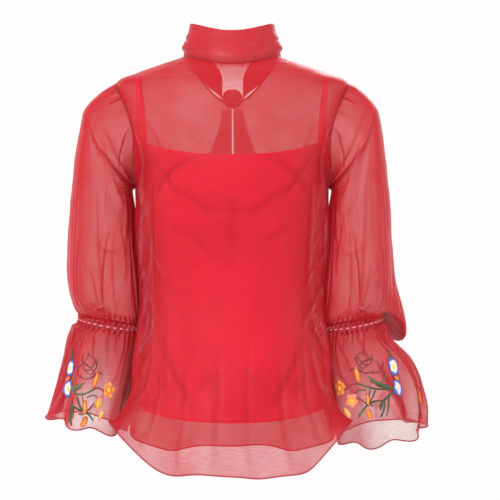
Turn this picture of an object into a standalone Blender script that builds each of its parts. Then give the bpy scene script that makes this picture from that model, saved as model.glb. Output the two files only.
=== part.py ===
"""A tie neck shirt of sheer cloth, in its worn form, with the camisole that lines it.

The shirt hangs round a general figure: the front faces -Y, up is +Z and the wearer's left is +X.
The origin is the centre of the neck opening, at the height of the neck seam.
Sizes in the tables are in millimetres and degrees. The meshes are in metres.
"""

import math
from collections import namedtuple

import bmesh
import bpy
from mathutils import Vector

MM = 0.001

# Walls
SHEER_WALL = 1.0
LINING_WALL = 1.0
COLLAR_WALL = 2.0
TUBE_WALL = 1.2
BAND_WALL = 1.4

# Gaps at the seams, between the middles of the two walls
SIDE_SEAM = 0.4
SHOULDER_SEAM = 0.7
COLLAR_SEAM = 1.05
CUFF_SEAM = 0.5

# The body: each row is a ring round the figure. Z is given at the side, centre front and centre back.
BodyRow = namedtuple("BodyRow", "side_z front_z back_z half_width front_depth back_depth power")
BODY_ROWS = [
    BodyRow(4, -58, -10, 69.5, 66, 57, 2.00),  # neck seam
    BodyRow(-2, -64, -15, 86, 72, 65, 2.00),
    BodyRow(-10, -71, -21, 110, 77, 72, 2.05),
    BodyRow(-20, -80, -29, 138, 83, 79, 2.10),
    BodyRow(-33, -91, -40, 166, 89, 86, 2.20),  # shoulder point
    BodyRow(-60, -106, -62, 164, 98, 93, 2.30),
    BodyRow(-90, -124, -92, 159, 107, 98, 2.35),
    BodyRow(-120, -144, -122, 152, 114, 100, 2.40),
    BodyRow(-152, -166, -154, 145, 119, 101, 2.40),
    BodyRow(-186, -192, -188, 139, 121, 100, 2.40),  # underarm
    BodyRow(-230, -238, -232, 136, 117, 96, 2.35),
    BodyRow(-280, -292, -284, 130, 110, 91, 2.30),
    BodyRow(-330, -346, -338, 125, 105, 89, 2.30),  # waist
    BodyRow(-385, -404, -398, 124, 106, 93, 2.30),
    BodyRow(-440, -464, -464, 131, 111, 101, 2.25),
    BodyRow(-487, -520, -527, 138, 118, 111, 2.20),
    BodyRow(-528, -574, -590, 147, 125, 121, 2.20),  # hem
]
SHOULDER_ROW = 4
UNDERARM_ROW = 9
HEM_ROW = 16
ROWS_TO_SHOULDER = 5
ROWS_ARMHOLE = 9
ROWS_TO_HEM = 8
PANEL_COLUMNS = 24
RING_BEND = 2.6  # how late a ring turns from its side height to its front or back height
TAIL_REACH = 0.85  # near the hem it turns sooner, to the rounded shirt tails
TAIL_START_ROW = 12
ARMHOLE_DEPTH = 50
ARMHOLE_ROUND = 0.7

# Waves of the hem. The angle goes from the left side, 0, by the centre back, 90, to the front, 270.
HemWave = namedtuple("HemWave", "angle reach width lift")
HEM_WAVES = [
    HemWave(25, 40, 12, 38),
    HemWave(54, -8, 12, -2),
    HemWave(75, 7, 9, 3),
    HemWave(104, -5, 10, -4),
    HemWave(126, 7, 11, 1),
    HemWave(155, 37, 12, 40),
    HemWave(206, 16, 13, -5),
    HemWave(232, -7, 11, -3),
    HemWave(256, 10, 11, 3),
    HemWave(284, 9, 11, 2),
    HemWave(309, -6, 11, -3),
    HemWave(335, 14, 13, -3),
]
WAVE_START_ROW = 14.3
WAVE_SPREAD = 1.3

# The slit below the collar at the centre front, closed by the tie
SLIT_LENGTH = 90
SLIT_WIDTH = 2.0

# Rings of the sleeves and ruffles: an outer and an inner point, the depth each way from centre_y,
# and the angle by which the back of the ring dips. round_in is how far a ring has left the armhole,
# and skew is how far its back is turned to the body.
SleeveRow = namedtuple("SleeveRow", "outer_x outer_z inner_x inner_z centre_y depth dip round_in")
SLEEVE_LEFT = [
    SleeveRow(166, -33, 139, -186, 0, 50, 0, 0.0),
    SleeveRow(184, -43, 147, -189, 1, 53, 0, 0.45),
    SleeveRow(201, -56, 146, -196, 2, 56, 0, 0.8),
    SleeveRow(214, -74, 146, -205, 3, 58, 1, 1.0),
    SleeveRow(221, -106, 145, -217, 4, 60, 2, 1.0),
    SleeveRow(228, -150, 143, -236, 5, 61, 3, 1.0),
    SleeveRow(233, -200, 140, -262, 6, 62, 5, 1.0),
    SleeveRow(237, -250, 137, -292, 7, 62, 6, 1.0),
    SleeveRow(238, -294, 135, -322, 7, 61, 7, 1.0),
    SleeveRow(235, -328, 133, -348, 6, 59, 7, 1.0),
    SleeveRow(229, -350, 132, -368, 4, 54, 5, 1.0),
    SleeveRow(224, -362, 131.5, -379, 2, 47, 4, 1.0),
]
SLEEVE_RIGHT = [
    SleeveRow(-166, -33, -139, -186, 0, 50, 0, 0.0),
    SleeveRow(-184, -39, -147, -189, 1, 53, 0, 0.45),
    SleeveRow(-200, -54, -146, -196, 2, 56, 0, 0.8),
    SleeveRow(-211, -73, -146, -205, 3, 58, 1, 1.0),
    SleeveRow(-217, -106, -145, -217, 4, 60, 2, 1.0),
    SleeveRow(-223, -152, -143, -237, 5, 61, 3, 1.0),
    SleeveRow(-228, -204, -140, -264, 6, 62, 5, 1.0),
    SleeveRow(-231, -254, -137, -294, 7, 62, 6, 1.0),
    SleeveRow(-233, -298, -135, -323, 7, 62, 7, 1.0),
    SleeveRow(-231, -330, -133, -350, 5, 60, 7, 1.0),
    SleeveRow(-225, -352, -132, -369, 3, 55, 5, 1.0),
    SleeveRow(-220, -363, -131.5, -380, 1, 48, 4, 1.0),
]
SLEEVE_COLUMNS = 36
ARMHOLE_GAP_TOP = 0.65
ARMHOLE_GAP_SIDE = 0.45
ARMHOLE_GAP_UNDER = 1.1
ARMHOLE_FALL = 0.45  # the slope at which the sleeve leaves the shoulder

# The sleeve hangs over the band at the front of the right arm, which is the fuller one.
Sag = namedtuple("Sag", "angle width row rows out drop")
SAGS = {
    "left": [Sag(300, 55, 9.6, 1.7, 5, 3), Sag(60, 55, 9.4, 1.8, 3, 2)],
    "right": [Sag(322, 44, 9.5, 0.9, 39, 76), Sag(70, 55, 9.5, 1.8, 3, 2)],
}

# Long soft folds of the sleeves, from one place (angle, row) to another
SleeveFold = namedtuple("SleeveFold", "angle row end_angle end_row width push")
SLEEVE_FOLDS = [
    SleeveFold(36, 2.6, 128, 5.6, 13, -4.0),
    SleeveFold(60, 2.4, 150, 5.0, 14, 3.0),
    SleeveFold(70, 6.2, 58, 10.2, 12, 3.5),
    SleeveFold(98, 5.8, 92, 10.2, 12, -3.5),
    SleeveFold(324, 2.6, 236, 5.8, 14, -4.0),
    SleeveFold(296, 6.0, 306, 10.2, 13, 3.5),
    SleeveFold(262, 6.4, 266, 10.2, 12, -3.0),
    SleeveFold(20, 6.6, 16, 10.0, 12, -2.5),
]

# The elastic bands that gather the sleeves below the elbow
Band = namedtuple("Band", "outer_x outer_z inner_x inner_z centre_y depth dip")
BANDS = {
    "left": Band(222, -372, 131, -388, 0, 42, 4),
    "right": Band(-217, -373, -131, -388, -1, 42, 4),
}
BAND_HEIGHT = 5
BAND_COLUMNS = 36
GATHERS = 36
GATHER_DEPTH = 1.6
GATHER_SWELL = 1.15  # the gathers open out a little one row from the band
GATHER_FADE = 1.5  # the rows over which they flatten out up the sleeve
STRAIGHT_AT_BAND = 4

# Bell ruffles below the bands
RuffleRow = namedtuple("RuffleRow", "outer_x outer_z inner_x inner_z centre_y depth dip skew wave")
RUFFLE_LEFT = [
    RuffleRow(231, -384, 132.5, -401, -4, 47, 4, 0, 0.05),
    RuffleRow(238, -402, 136, -418, -9, 51, 5, 0, 0.2),
    RuffleRow(243, -430, 142, -444, -17, 54, 6, 0, 0.42),
    RuffleRow(249, -459, 149, -475, -25, 58, 6, 0, 0.62),
    RuffleRow(256, -488, 156, -508, -34, 61, 6, 0, 0.82),
    RuffleRow(264, -517, 163, -540, -43, 64, 5, 0, 1.0),
]
RUFFLE_RIGHT = [
    RuffleRow(-225, -385, -132.5, -401, -5, 47, 3, 2, 0.05),
    RuffleRow(-232, -405, -136, -418, -11, 51, 2, 6, 0.2),
    RuffleRow(-257, -431, -142, -446, -20, 56, -3, 14, 0.42),
    RuffleRow(-273, -466, -149, -482, -30, 61, -8, 20, 0.62),
    RuffleRow(-281, -501, -155, -520, -40, 66, -14, 20, 0.82),
    RuffleRow(-281, -535, -161, -556, -50, 71, -19, 16, 1.0),
]
RUFFLE_WAVES = 6
WAVE_DEPTH = 9
WAVE_BY_BODY = 0.5  # the share of that depth on the side by the body
WAVE_DROP = 3
WAVE_TURN = {"left": 20, "right": 50}

# The collar: a folded band, from the neck seam to its top edge
CollarRow = namedtuple("CollarRow", "side_z front_z back_z half_width front_depth back_depth")
COLLAR_ROWS = [
    CollarRow(4, -58, -10, 69.5, 66, 57),
    CollarRow(16, -46, 0, 71, 67, 58),
    CollarRow(28, -32, 13, 68, 65, 55),
    CollarRow(40, -17, 25, 63, 62, 52),
    CollarRow(51, -2, 37, 61, 59, 50),
]
COLLAR_COLUMNS = 44  # as fine as the panels' neck edges
COLLAR_END_ANGLE = 15  # each end's angle from the centre front
COLLAR_LEAN = 6  # how far the top of the collar leans forward
COLLAR_DIP = 44  # how far its top edge runs down into the knot
COLLAR_DIP_WIDTH = 27
COLLAR_PULL = 14  # how far its ends are drawn forward to the knot
COLLAR_PULL_WIDTH = 12

# The tie
KNOT_SIZE = (30, 24, 30)
KNOT_CENTRE = (0, -83, -50)
KNOT_SQUARENESS = 2.6
KNOT_SEGMENTS = 20
KNOT_RINGS = 12
KNOT_SIDE_GAP = 0.8
KNOT_UNDER_GAP = 0.5
COLLAR_END_X = KNOT_SIZE[0] / 2 + KNOT_SIDE_GAP
TAIL_TOP_Z = KNOT_CENTRE[2] - KNOT_SIZE[2] / 2 - KNOT_UNDER_GAP
Tail = namedtuple("Tail", "direction top_width bottom_width length slant phase")
TAILS = {
    "left": Tail(1, 14, 54, 262, 9, 0.0),
    "right": Tail(-1, 14, 52, 246, 6, 0.5),
}
TAILS_APART = 4
TAIL_COLUMNS = 6
TAIL_ROWS = 14
TAIL_LIFT = 2.2
TAIL_KNOT_LIFT = 7  # further out where it leaves the knot
TAIL_KNOT_SHARE = 0.2
TAIL_FOLD = 2.4
TAIL_FOLDS = 1.5
TAIL_SPREAD = 0.75  # the share of its widening that comes in its upper part
TAIL_SPREAD_SHARE = 0.45
TAIL_SLOPE = 12  # the end is cut on a slant

# The camisole: rings by height, then its top and hem edges
LiningRow = namedtuple("LiningRow", "z half_width front_depth back_depth power")
LINING_ROWS = [
    LiningRow(-100, 147, 97, 90, 2.4),
    LiningRow(-140, 140, 106, 91, 2.4),
    LiningRow(-180, 129, 110, 90, 2.4),
    LiningRow(-220, 120, 106, 86, 2.35),
    LiningRow(-280, 114, 96, 80, 2.3),
    LiningRow(-335, 113, 93, 79, 2.3),
    LiningRow(-390, 119, 97, 85, 2.3),
    LiningRow(-445, 129, 105, 94, 2.25),
    LiningRow(-500, 136, 111, 101, 2.2),
    LiningRow(-545, 139, 114, 104, 2.2),
]
LINING_SIDE_TOP = -195
LINING_CORNER_ANGLE = 24
LINING_BACK_CORNER_TOP = -118
LINING_FRONT_CORNER_TOP = -132
LINING_BACK_CENTRE_TOP = -142
LINING_FRONT_CENTRE_TOP = -176
LINING_SIDE_HEM = -498
LINING_CENTRE_HEM = -517
LINING_TOP_BEND = 1.3  # how its top edge dips from the side to the corner
LINING_HEM_BEND = 1.4  # how its hem dips to the centre
LINING_COLUMNS = 16
LINING_ROWS_MADE = 10
CORNER_COLUMNS = 3

# Straps of the camisole
STRAP_WIDTH = 7.5
STRAP_X = 138
STRAP_UNDER = 2.6
STRAP_STEPS = 10
STRAP_BACK_PLACE = 7.0
STRAP_FRONT_PLACE = 6.3
STRAP_END_GAP = 0.7
STRAP_SPAN = 4.6  # the strap's width on the camisole's edge, in degrees from its corner


def mix(first, second, share):
    return first + (second - first) * share


def smooth(share):
    share = min(max(share, 0.0), 1.0)
    return share * share * (3 - 2 * share)


def bell(distance, width):
    return math.exp(-((distance / width) ** 2))


def turn_between(angle, other):
    """The shorter way round from one angle to the other, in degrees."""
    return (angle - other + 180) % 360 - 180


def row_at(table, place):
    """The named row at a place between the rows of a table, on a smooth curve through them."""
    last = len(table) - 1
    place = min(max(place, 0.0), float(last))
    low = min(int(place), last - 1)
    share = place - low
    near = [table[min(max(low + step, 0), last)] for step in (-1, 0, 1, 2)]
    values = []
    for before, start, end, after in zip(*near):
        rise = (end - before) / 2
        fall = (after - start) / 2
        square = share * share
        cube = square * share
        values.append(
            start * (2 * cube - 3 * square + 1)
            + rise * (cube - 2 * square + share)
            + end * (3 * square - 2 * cube)
            + fall * (cube - square)
        )
    return type(table[0])(*values)


def ring_point(half_width, depth, power, angle):
    """X and Y on a rounded section. The angle is 0 at +X and 90 at +Y."""
    cos = math.cos(math.radians(angle))
    sin = math.sin(math.radians(angle))
    x = math.copysign(half_width * abs(cos) ** (2 / power), cos)
    y = math.copysign(depth * abs(sin) ** (2 / power), sin)
    return x, y


def body_point(angle, place):
    """A point on the body at an angle and a place between its rows."""
    row = row_at(BODY_ROWS, place)
    at_back = math.sin(math.radians(angle)) > 0
    x, y = ring_point(row.half_width, row.back_depth if at_back else row.front_depth, row.power, angle)
    from_side = abs(math.sin(math.radians(angle)))
    tail = smooth((place - TAIL_START_ROW) / (HEM_ROW - TAIL_START_ROW))
    turned = mix(from_side**RING_BEND, smooth(from_side / TAIL_REACH), tail)
    z = mix(row.side_z, row.back_z if at_back else row.front_z, turned)
    flare = max(0.0, (place - WAVE_START_ROW) / (HEM_ROW - WAVE_START_ROW)) ** WAVE_SPREAD
    out = Vector((x, y)).normalized()
    for wave in HEM_WAVES:
        share = flare * bell(turn_between(angle, wave.angle), wave.width)
        x += out.x * wave.reach * share
        y += out.y * wave.reach * share
        z += wave.lift * share
    return Vector((x, y, z))


def body_outward(angle, place):
    """The direction out of the body's surface."""
    across = body_point(angle + 0.5, place) - body_point(angle - 0.5, place)
    down = body_point(angle, place + 0.05) - body_point(angle, place - 0.05)
    return down.cross(across).normalized()


def angle_at_depth(place, depth, at_back):
    """How far from the side, in degrees, the section at this place reaches a depth in Y."""
    row = row_at(BODY_ROWS, place)
    share = depth / (row.back_depth if at_back else row.front_depth)
    return math.degrees(math.asin(share ** (row.power / 2)))


def armhole_depth(place):
    share = (place - SHOULDER_ROW) / (UNDERARM_ROW - SHOULDER_ROW)
    if not 0 < share < 1:
        return 0.0
    return ARMHOLE_DEPTH * math.sin(math.pi * share) ** ARMHOLE_ROUND


def panel_place(index):
    """The place between the body's rows of a panel's row of points."""
    if index <= ROWS_TO_SHOULDER:
        return SHOULDER_ROW * index / ROWS_TO_SHOULDER
    index -= ROWS_TO_SHOULDER
    if index <= ROWS_ARMHOLE:
        return mix(SHOULDER_ROW, UNDERARM_ROW, index / ROWS_ARMHOLE)
    return mix(UNDERARM_ROW, HEM_ROW, (index - ROWS_ARMHOLE) / ROWS_TO_HEM)


def panel_point(across, index, at_back):
    """A point of the back or front panel, which ends at its seams and armholes."""
    place = panel_place(index)
    seam = SHOULDER_SEAM if place <= SHOULDER_ROW else SIDE_SEAM
    depth = max(seam / 2, armhole_depth(place))
    edge = angle_at_depth(place, depth, at_back)
    start = 0 if at_back else 180
    return body_point(start + mix(edge, 180 - edge, across), place)


def armhole_corner(side, step):
    """A corner of the armhole's edge: 0 at the shoulder, then down the back and up the front."""
    steps = 2 * ROWS_ARMHOLE
    step %= steps
    at_back = step <= ROWS_ARMHOLE
    share = (step if at_back else steps - step) / ROWS_ARMHOLE
    place = mix(SHOULDER_ROW, UNDERARM_ROW, share)
    edge = angle_at_depth(place, armhole_depth(place), at_back)
    angle = edge if at_back else -edge
    return body_point(angle if side == "left" else 180 - angle, place)


def armhole_point(side, angle):
    """A point on the straight lines between the armhole's corners."""
    step = (angle % 360) / 360 * 2 * ROWS_ARMHOLE
    low = int(step)
    return armhole_corner(side, low).lerp(armhole_corner(side, low + 1), step - low)


def tube_ring(row, angle):
    """A point on a sleeve's or ruffle's ring: 0 outside, 90 at the back, 180 inside."""
    outer = Vector((row.outer_x, row.centre_y, row.outer_z))
    inner = Vector((row.inner_x, row.centre_y, row.inner_z))
    back = Vector((0, math.cos(math.radians(row.dip)), -math.sin(math.radians(row.dip)))) * row.depth
    back.x = -math.copysign(getattr(row, "skew", 0), row.outer_x)
    cos = math.cos(math.radians(angle))
    sin = math.sin(math.radians(angle))
    return (outer + inner) / 2 + (outer - inner) / 2 * cos + back * sin


def ring_outward(row, angle):
    middle = (tube_ring(row, 0) + tube_ring(row, 180)) / 2
    return (tube_ring(row, angle) - middle).normalized()


def band_down(band):
    """The direction in which the arm leaves the band."""
    across = tube_ring(band, 0) - tube_ring(band, 180)
    back = tube_ring(band, 90) - tube_ring(band, 270)
    down = across.cross(back).normalized()
    return down if down.z < 0 else -down


def band_point(side, angle, along):
    """A point on the band's own ring, moved along the arm."""
    band = BANDS[side]
    return tube_ring(band, angle) + band_down(band) * along


def gather(angle):
    """1 on a gather's ridge and -1 in its valley."""
    return math.cos(math.radians(angle * GATHERS))


def sleeve_point(across, index, side):
    angle = 360 * across
    table = SLEEVE_LEFT if side == "left" else SLEEVE_RIGHT
    last = len(table) - 1
    band = BANDS[side]
    if index > last:
        along = -CUFF_SEAM - STRAIGHT_AT_BAND * (last + 2 - index)
        ridge = GATHER_DEPTH * (1.0 if index > last + 1 else GATHER_SWELL)
        return band_point(side, angle, along) + ring_outward(band, angle) * ridge * gather(angle)
    row = row_at(table, index)
    point = tube_ring(row, angle)
    if row.round_in < 1:
        start = armhole_point(side, angle)
        fall = -ARMHOLE_FALL * max(0.0, math.cos(math.radians(angle)))
        reach = Vector((math.copysign(1, row.outer_x), 0, fall)).normalized()
        under = (1 - math.cos(math.radians(angle))) / 2
        gap = ARMHOLE_GAP_TOP + ARMHOLE_GAP_SIDE * abs(math.sin(math.radians(angle)))
        gap += ARMHOLE_GAP_UNDER * under**3
        start += reach * gap
        point = start.lerp(point, row.round_in)
    out = ring_outward(row, angle)
    for sag in SAGS[side]:
        share = bell(turn_between(angle, sag.angle), sag.width) * bell(index - sag.row, sag.rows)
        point += out * sag.out * share
        point.z -= sag.drop * share
    for fold in SLEEVE_FOLDS:
        share = (index - fold.row) / (fold.end_row - fold.row)
        if 0 < share < 1:
            middle = fold.angle + turn_between(fold.end_angle, fold.angle) * share
            height = math.sin(math.pi * share) * bell(turn_between(angle, middle), fold.width)
            point += out * fold.push * height
    if index > last - GATHER_FADE:
        point += out * GATHER_DEPTH * gather(angle) * (1 + (index - last) / GATHER_FADE)
    return point


def ruffle_point(across, index, side):
    angle = 360 * across
    table = RUFFLE_LEFT if side == "left" else RUFFLE_RIGHT
    band = BANDS[side]
    if index < 2:
        along = BAND_HEIGHT + CUFF_SEAM + STRAIGHT_AT_BAND * index
        ridge = GATHER_DEPTH * (1.0 if index < 1 else GATHER_SWELL)
        return band_point(side, angle, along) + ring_outward(band, angle) * ridge * gather(angle)
    row = row_at(table, index - 2)
    out = ring_outward(row, angle)
    wave = math.sin(math.radians(RUFFLE_WAVES * angle + WAVE_TURN[side]))
    away = smooth((1 + math.cos(math.radians(angle))) / 1.2)
    point = tube_ring(row, angle) + out * WAVE_DEPTH * row.wave * wave * mix(WAVE_BY_BODY, 1, away)
    point.z -= WAVE_DROP * row.wave * wave
    if index < 3:
        point += out * GATHER_DEPTH * gather(angle) * (3 - index)
    return point


def collar_point(across, index):
    row = row_at(COLLAR_ROWS, index)
    angle = mix(COLLAR_END_ANGLE - 90, 270 - COLLAR_END_ANGLE, across)
    at_back = math.sin(math.radians(angle)) > 0
    x, y = ring_point(row.half_width, row.back_depth if at_back else row.front_depth, 2, angle)
    turned = abs(math.sin(math.radians(angle))) ** RING_BEND
    z = mix(row.side_z, row.back_z if at_back else row.front_z, turned)
    height = index / (len(COLLAR_ROWS) - 1)
    from_front = turn_between(angle, 270)
    z -= COLLAR_DIP * height * bell(from_front, COLLAR_DIP_WIDTH)
    y -= COLLAR_LEAN * height * height
    at_end = bell(abs(from_front) - COLLAR_END_ANGLE, COLLAR_PULL_WIDTH)
    y -= COLLAR_PULL * at_end
    x = mix(x, math.copysign(COLLAR_END_X, x), at_end)
    return Vector((x, y, z + COLLAR_SEAM))


def front_place(x, z):
    """The angle and place at which the front panel has this X and Z."""
    low, high = 0.0, float(HEM_ROW)
    for _ in range(30):
        place = (low + high) / 2
        row = row_at(BODY_ROWS, place)
        angle = 360 - math.degrees(math.acos((abs(x) / row.half_width) ** (row.power / 2)))
        if body_point(angle, place).z > z:
            low = place
        else:
            high = place
    return (angle if x > 0 else 540 - angle), place


def tail_point(across, index, side):
    tail = TAILS[side]
    share = index / TAIL_ROWS
    spread = smooth(share / TAIL_SPREAD_SHARE)
    width = mix(tail.top_width, tail.bottom_width, mix(share, spread, TAIL_SPREAD))
    x = tail.direction * (TAILS_APART / 2 + tail.slant * share * share + width * across)
    z = TAIL_TOP_Z - tail.length * share - TAIL_SLOPE * share * across
    angle, place = front_place(x, z)
    fold = 0.5 + 0.5 * math.cos(2 * math.pi * (TAIL_FOLDS * across + tail.phase))
    at_knot = 1 - smooth(share / TAIL_KNOT_SHARE)
    lift = TAIL_LIFT + TAIL_FOLD * fold * spread + TAIL_KNOT_LIFT * at_knot
    point = body_point(angle, place) + body_outward(angle, place) * lift
    return Vector((x, point.y, z))


def lining_angle(across):
    """The angle from the side, with a column of points at each strap's corner."""
    half = LINING_COLUMNS / 2
    step = across * LINING_COLUMNS
    mirrored = step > half
    step = 2 * half - step if mirrored else step
    if step <= CORNER_COLUMNS:
        angle = LINING_CORNER_ANGLE * step / CORNER_COLUMNS
    else:
        angle = mix(LINING_CORNER_ANGLE, 90, (step - CORNER_COLUMNS) / (half - CORNER_COLUMNS))
    return 180 - angle if mirrored else angle


def lining_top(from_side, at_back):
    corner = LINING_BACK_CORNER_TOP if at_back else LINING_FRONT_CORNER_TOP
    centre = LINING_BACK_CENTRE_TOP if at_back else LINING_FRONT_CENTRE_TOP
    if from_side < LINING_CORNER_ANGLE:
        return mix(LINING_SIDE_TOP, corner, (from_side / LINING_CORNER_ANGLE) ** LINING_TOP_BEND)
    share = (from_side - LINING_CORNER_ANGLE) / (90 - LINING_CORNER_ANGLE)
    return mix(corner, centre, math.sin(math.pi / 2 * share))


def lining_section(angle, z):
    place = 0
    while place < len(LINING_ROWS) - 2 and LINING_ROWS[place + 1].z > z:
        place += 1
    share = (z - LINING_ROWS[place].z) / (LINING_ROWS[place + 1].z - LINING_ROWS[place].z)
    row = row_at(LINING_ROWS, place + share)
    depth = row.back_depth if math.sin(math.radians(angle)) > 0 else row.front_depth
    x, y = ring_point(row.half_width, depth, row.power, angle)
    return Vector((x, y, z))


def lining_point(across, index, at_back):
    angle = lining_angle(across)
    from_side = min(angle, 180 - angle)
    top = lining_top(from_side, at_back)
    dip = math.sin(math.radians(from_side)) ** LINING_HEM_BEND
    hem = mix(LINING_SIDE_HEM, LINING_CENTRE_HEM, dip)
    z = mix(top, hem, index / LINING_ROWS_MADE)
    point = lining_section(angle if at_back else 180 + angle, z)
    point.y += (SIDE_SEAM / 2) * (1 if at_back else -1)
    return point


def strap_start():
    """The place between the body's rows where a strap crosses the shoulder."""
    steps = 100
    places = (place / steps for place in range(SHOULDER_ROW * steps))
    return next(place for place in places if row_at(BODY_ROWS, place).half_width >= STRAP_X)


def under_shoulder(across, place, at_back):
    """A point on the left strap's path just under the body, as wide as the strap."""
    row = row_at(BODY_ROWS, place)
    angle = math.degrees(math.acos(min(1.0, STRAP_X / row.half_width) ** (row.power / 2)))
    angle = angle if at_back else -angle
    outward = body_outward(angle, place)
    sideways = Vector((1, 0, 0)) - outward * outward.x
    point = body_point(angle, place) - outward * STRAP_UNDER
    return point + sideways.normalized() * STRAP_WIDTH * (across - 0.5)


def strap_point(across, index, side):
    """A point of a strap, which runs from the front corner over the shoulder to the back corner."""
    share = index / (2 * STRAP_STEPS)
    at_back = share > 0.5
    along = abs(share - 0.5) * 2
    last = STRAP_BACK_PLACE if at_back else STRAP_FRONT_PLACE
    place = mix(strap_start(), last, along * along)
    from_side = LINING_CORNER_ANGLE + STRAP_SPAN * (1 - across)
    top = lining_top(from_side, at_back) + STRAP_END_GAP
    edge = lining_section(from_side if at_back else -from_side, top)
    end = edge - under_shoulder(across, last, at_back)
    point = under_shoulder(across, place, at_back) + end * smooth(along)
    if side == "right":
        point.x = -point.x
    return point


def material(name, colour, roughness):
    made = bpy.data.materials.new(name)
    made.use_nodes = True
    shader = made.node_tree.nodes["Principled BSDF"]
    shader.inputs["Base Color"].default_value = (*colour, 1)
    shader.inputs["Roughness"].default_value = roughness
    shader.inputs["Metallic"].default_value = 0.0
    return made


def piece(name, bm, finish, wall=None, even=True):
    """An object from a bmesh. An open sheet gets its wall from Solidify."""
    mesh = bpy.data.meshes.new(name)
    bm.to_mesh(mesh)
    bm.free()
    mesh.shade_smooth()
    made = bpy.data.objects.new(name, mesh)
    made.data.materials.append(finish)
    shirt.objects.link(made)
    if wall:
        solidify = made.modifiers.new("wall", "SOLIDIFY")
        solidify.thickness = wall * MM
        solidify.offset = 0
        solidify.use_even_offset = even
    return made


def cloth(name, columns, rows, form, finish, wall, closed=False, finer=None, slit=None):
    """A flat grid bent to the form of a cut piece.

    form gives a point in millimetres from (0 to 1 across, row index). finer is the range of rows
    that have twice the columns. slit is the last row of a cut down the middle column.
    """
    bm = bmesh.new()
    bmesh.ops.create_grid(bm, x_segments=columns, y_segments=rows, size=0.5)
    for vert in bm.verts:
        vert.co = (vert.co.x + 0.5, (0.5 - vert.co.y) * rows, 0)
    if finer:
        low, high = finer
        doubled = [
            edge
            for edge in bm.edges
            if abs(edge.verts[0].co.y - edge.verts[1].co.y) < 0.01
            and low - 0.01 < edge.verts[0].co.y < high + 0.01
        ]
        bmesh.ops.subdivide_edges(bm, edges=doubled, cuts=1, use_single_edge=True)
    if slit:
        cut = [
            edge
            for edge in bm.edges
            if all(abs(vert.co.x - 0.5) < 0.001 and vert.co.y < slit + 0.01 for vert in edge.verts)
        ]
        bmesh.ops.split_edges(bm, edges=cut)
    places = []
    for vert in bm.verts:
        point = form(vert.co.x, vert.co.y)
        if slit and abs(vert.co.x - 0.5) < 0.001 and vert.co.y < slit - 0.01:
            beside = sum(face.calc_center_median().x for face in vert.link_faces)
            point.x += math.copysign(SLIT_WIDTH / 2, beside / len(vert.link_faces) - 0.5)
        places.append(point * MM)
    for vert, place in zip(bm.verts, places):
        vert.co = place
    if closed:
        bmesh.ops.remove_doubles(bm, verts=bm.verts, dist=1e-6)
    return piece(name, bm, finish, wall, even=not closed)


def knot(name, finish):
    """A rounded pillow, squarer than a ball."""
    bm = bmesh.new()
    bmesh.ops.create_uvsphere(bm, u_segments=KNOT_SEGMENTS, v_segments=KNOT_RINGS, radius=1)
    power = 2 / KNOT_SQUARENESS
    for vert in bm.verts:
        vert.co = [
            (centre + math.copysign(abs(value) ** power, value) * size / 2) * MM
            for value, size, centre in zip(vert.co, KNOT_SIZE, KNOT_CENTRE)
        ]
    return piece(name, bm, finish)


for old in list(bpy.data.objects):
    bpy.data.objects.remove(old)
shirt = bpy.data.collections.new("tie_neck_shirt")
bpy.context.scene.collection.children.link(shirt)

panel_rows = ROWS_TO_SHOULDER + ROWS_ARMHOLE + ROWS_TO_HEM
slit_bottom = COLLAR_ROWS[0].front_z - SLIT_LENGTH
slit_row = next(i for i in range(panel_rows) if panel_point(0.5, i, False).z < slit_bottom)
sheer = (0.62, 0.05, 0.07)
seam_red = (0.53, 0.01, 0.03)
lining_red = (0.89, 0.03, 0.07)

cloth(
    "back", PANEL_COLUMNS, panel_rows, lambda s, i: panel_point(s, i, True),
    material("sheer_cloth_back", sheer, 0.45), SHEER_WALL,
)
cloth(
    "front", PANEL_COLUMNS, panel_rows, lambda s, i: panel_point(s, i, False),
    material("sheer_cloth_front", sheer, 0.45), SHEER_WALL, slit=slit_row,
)
for side in ("left", "right"):
    sleeve_rows = len(SLEEVE_LEFT) + 1
    cloth(
        "sleeve_" + side, SLEEVE_COLUMNS, sleeve_rows, lambda s, i: sleeve_point(s, i, side),
        material("sheer_cloth_sleeve_" + side, sheer, 0.45), TUBE_WALL,
        closed=True, finer=(sleeve_rows - 3, sleeve_rows),
    )
    cloth(
        "cuff_band_" + side, BAND_COLUMNS, 1, lambda s, i: band_point(side, 360 * s, BAND_HEIGHT * i),
        material("elastic_" + side, seam_red, 0.5), BAND_WALL, closed=True,
    )
    ruffle_rows = len(RUFFLE_LEFT) + 1
    cloth(
        "ruffle_" + side, SLEEVE_COLUMNS, ruffle_rows, lambda s, i: ruffle_point(s, i, side),
        material("sheer_cloth_ruffle_" + side, sheer, 0.45), TUBE_WALL, closed=True, finer=(0, 2),
    )
    cloth(
        "tie_tail_" + side, TAIL_COLUMNS, TAIL_ROWS, lambda s, i: tail_point(s, i, side),
        material("sheer_cloth_tail_" + side, sheer, 0.45), SHEER_WALL,
    )
    cloth(
        "strap_" + side, 2, 2 * STRAP_STEPS, lambda s, i: strap_point(s, i, side),
        material("camisole_strap_" + side, lining_red, 0.4), LINING_WALL,
    )
cloth(
    "collar", COLLAR_COLUMNS, len(COLLAR_ROWS) - 1, collar_point,
    material("folded_sheer_cloth", sheer, 0.45), COLLAR_WALL,
)
knot("tie_knot", material("sheer_cloth_knot", sheer, 0.45))
cloth(
    "cami_back", LINING_COLUMNS, LINING_ROWS_MADE, lambda s, i: lining_point(s, i, True),
    material("camisole_back_cloth", lining_red, 0.4), LINING_WALL,
)
cloth(
    "cami_front", LINING_COLUMNS, LINING_ROWS_MADE, lambda s, i: lining_point(s, i, False),
    material("camisole_front_cloth", lining_red, 0.4), LINING_WALL,
)
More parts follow.
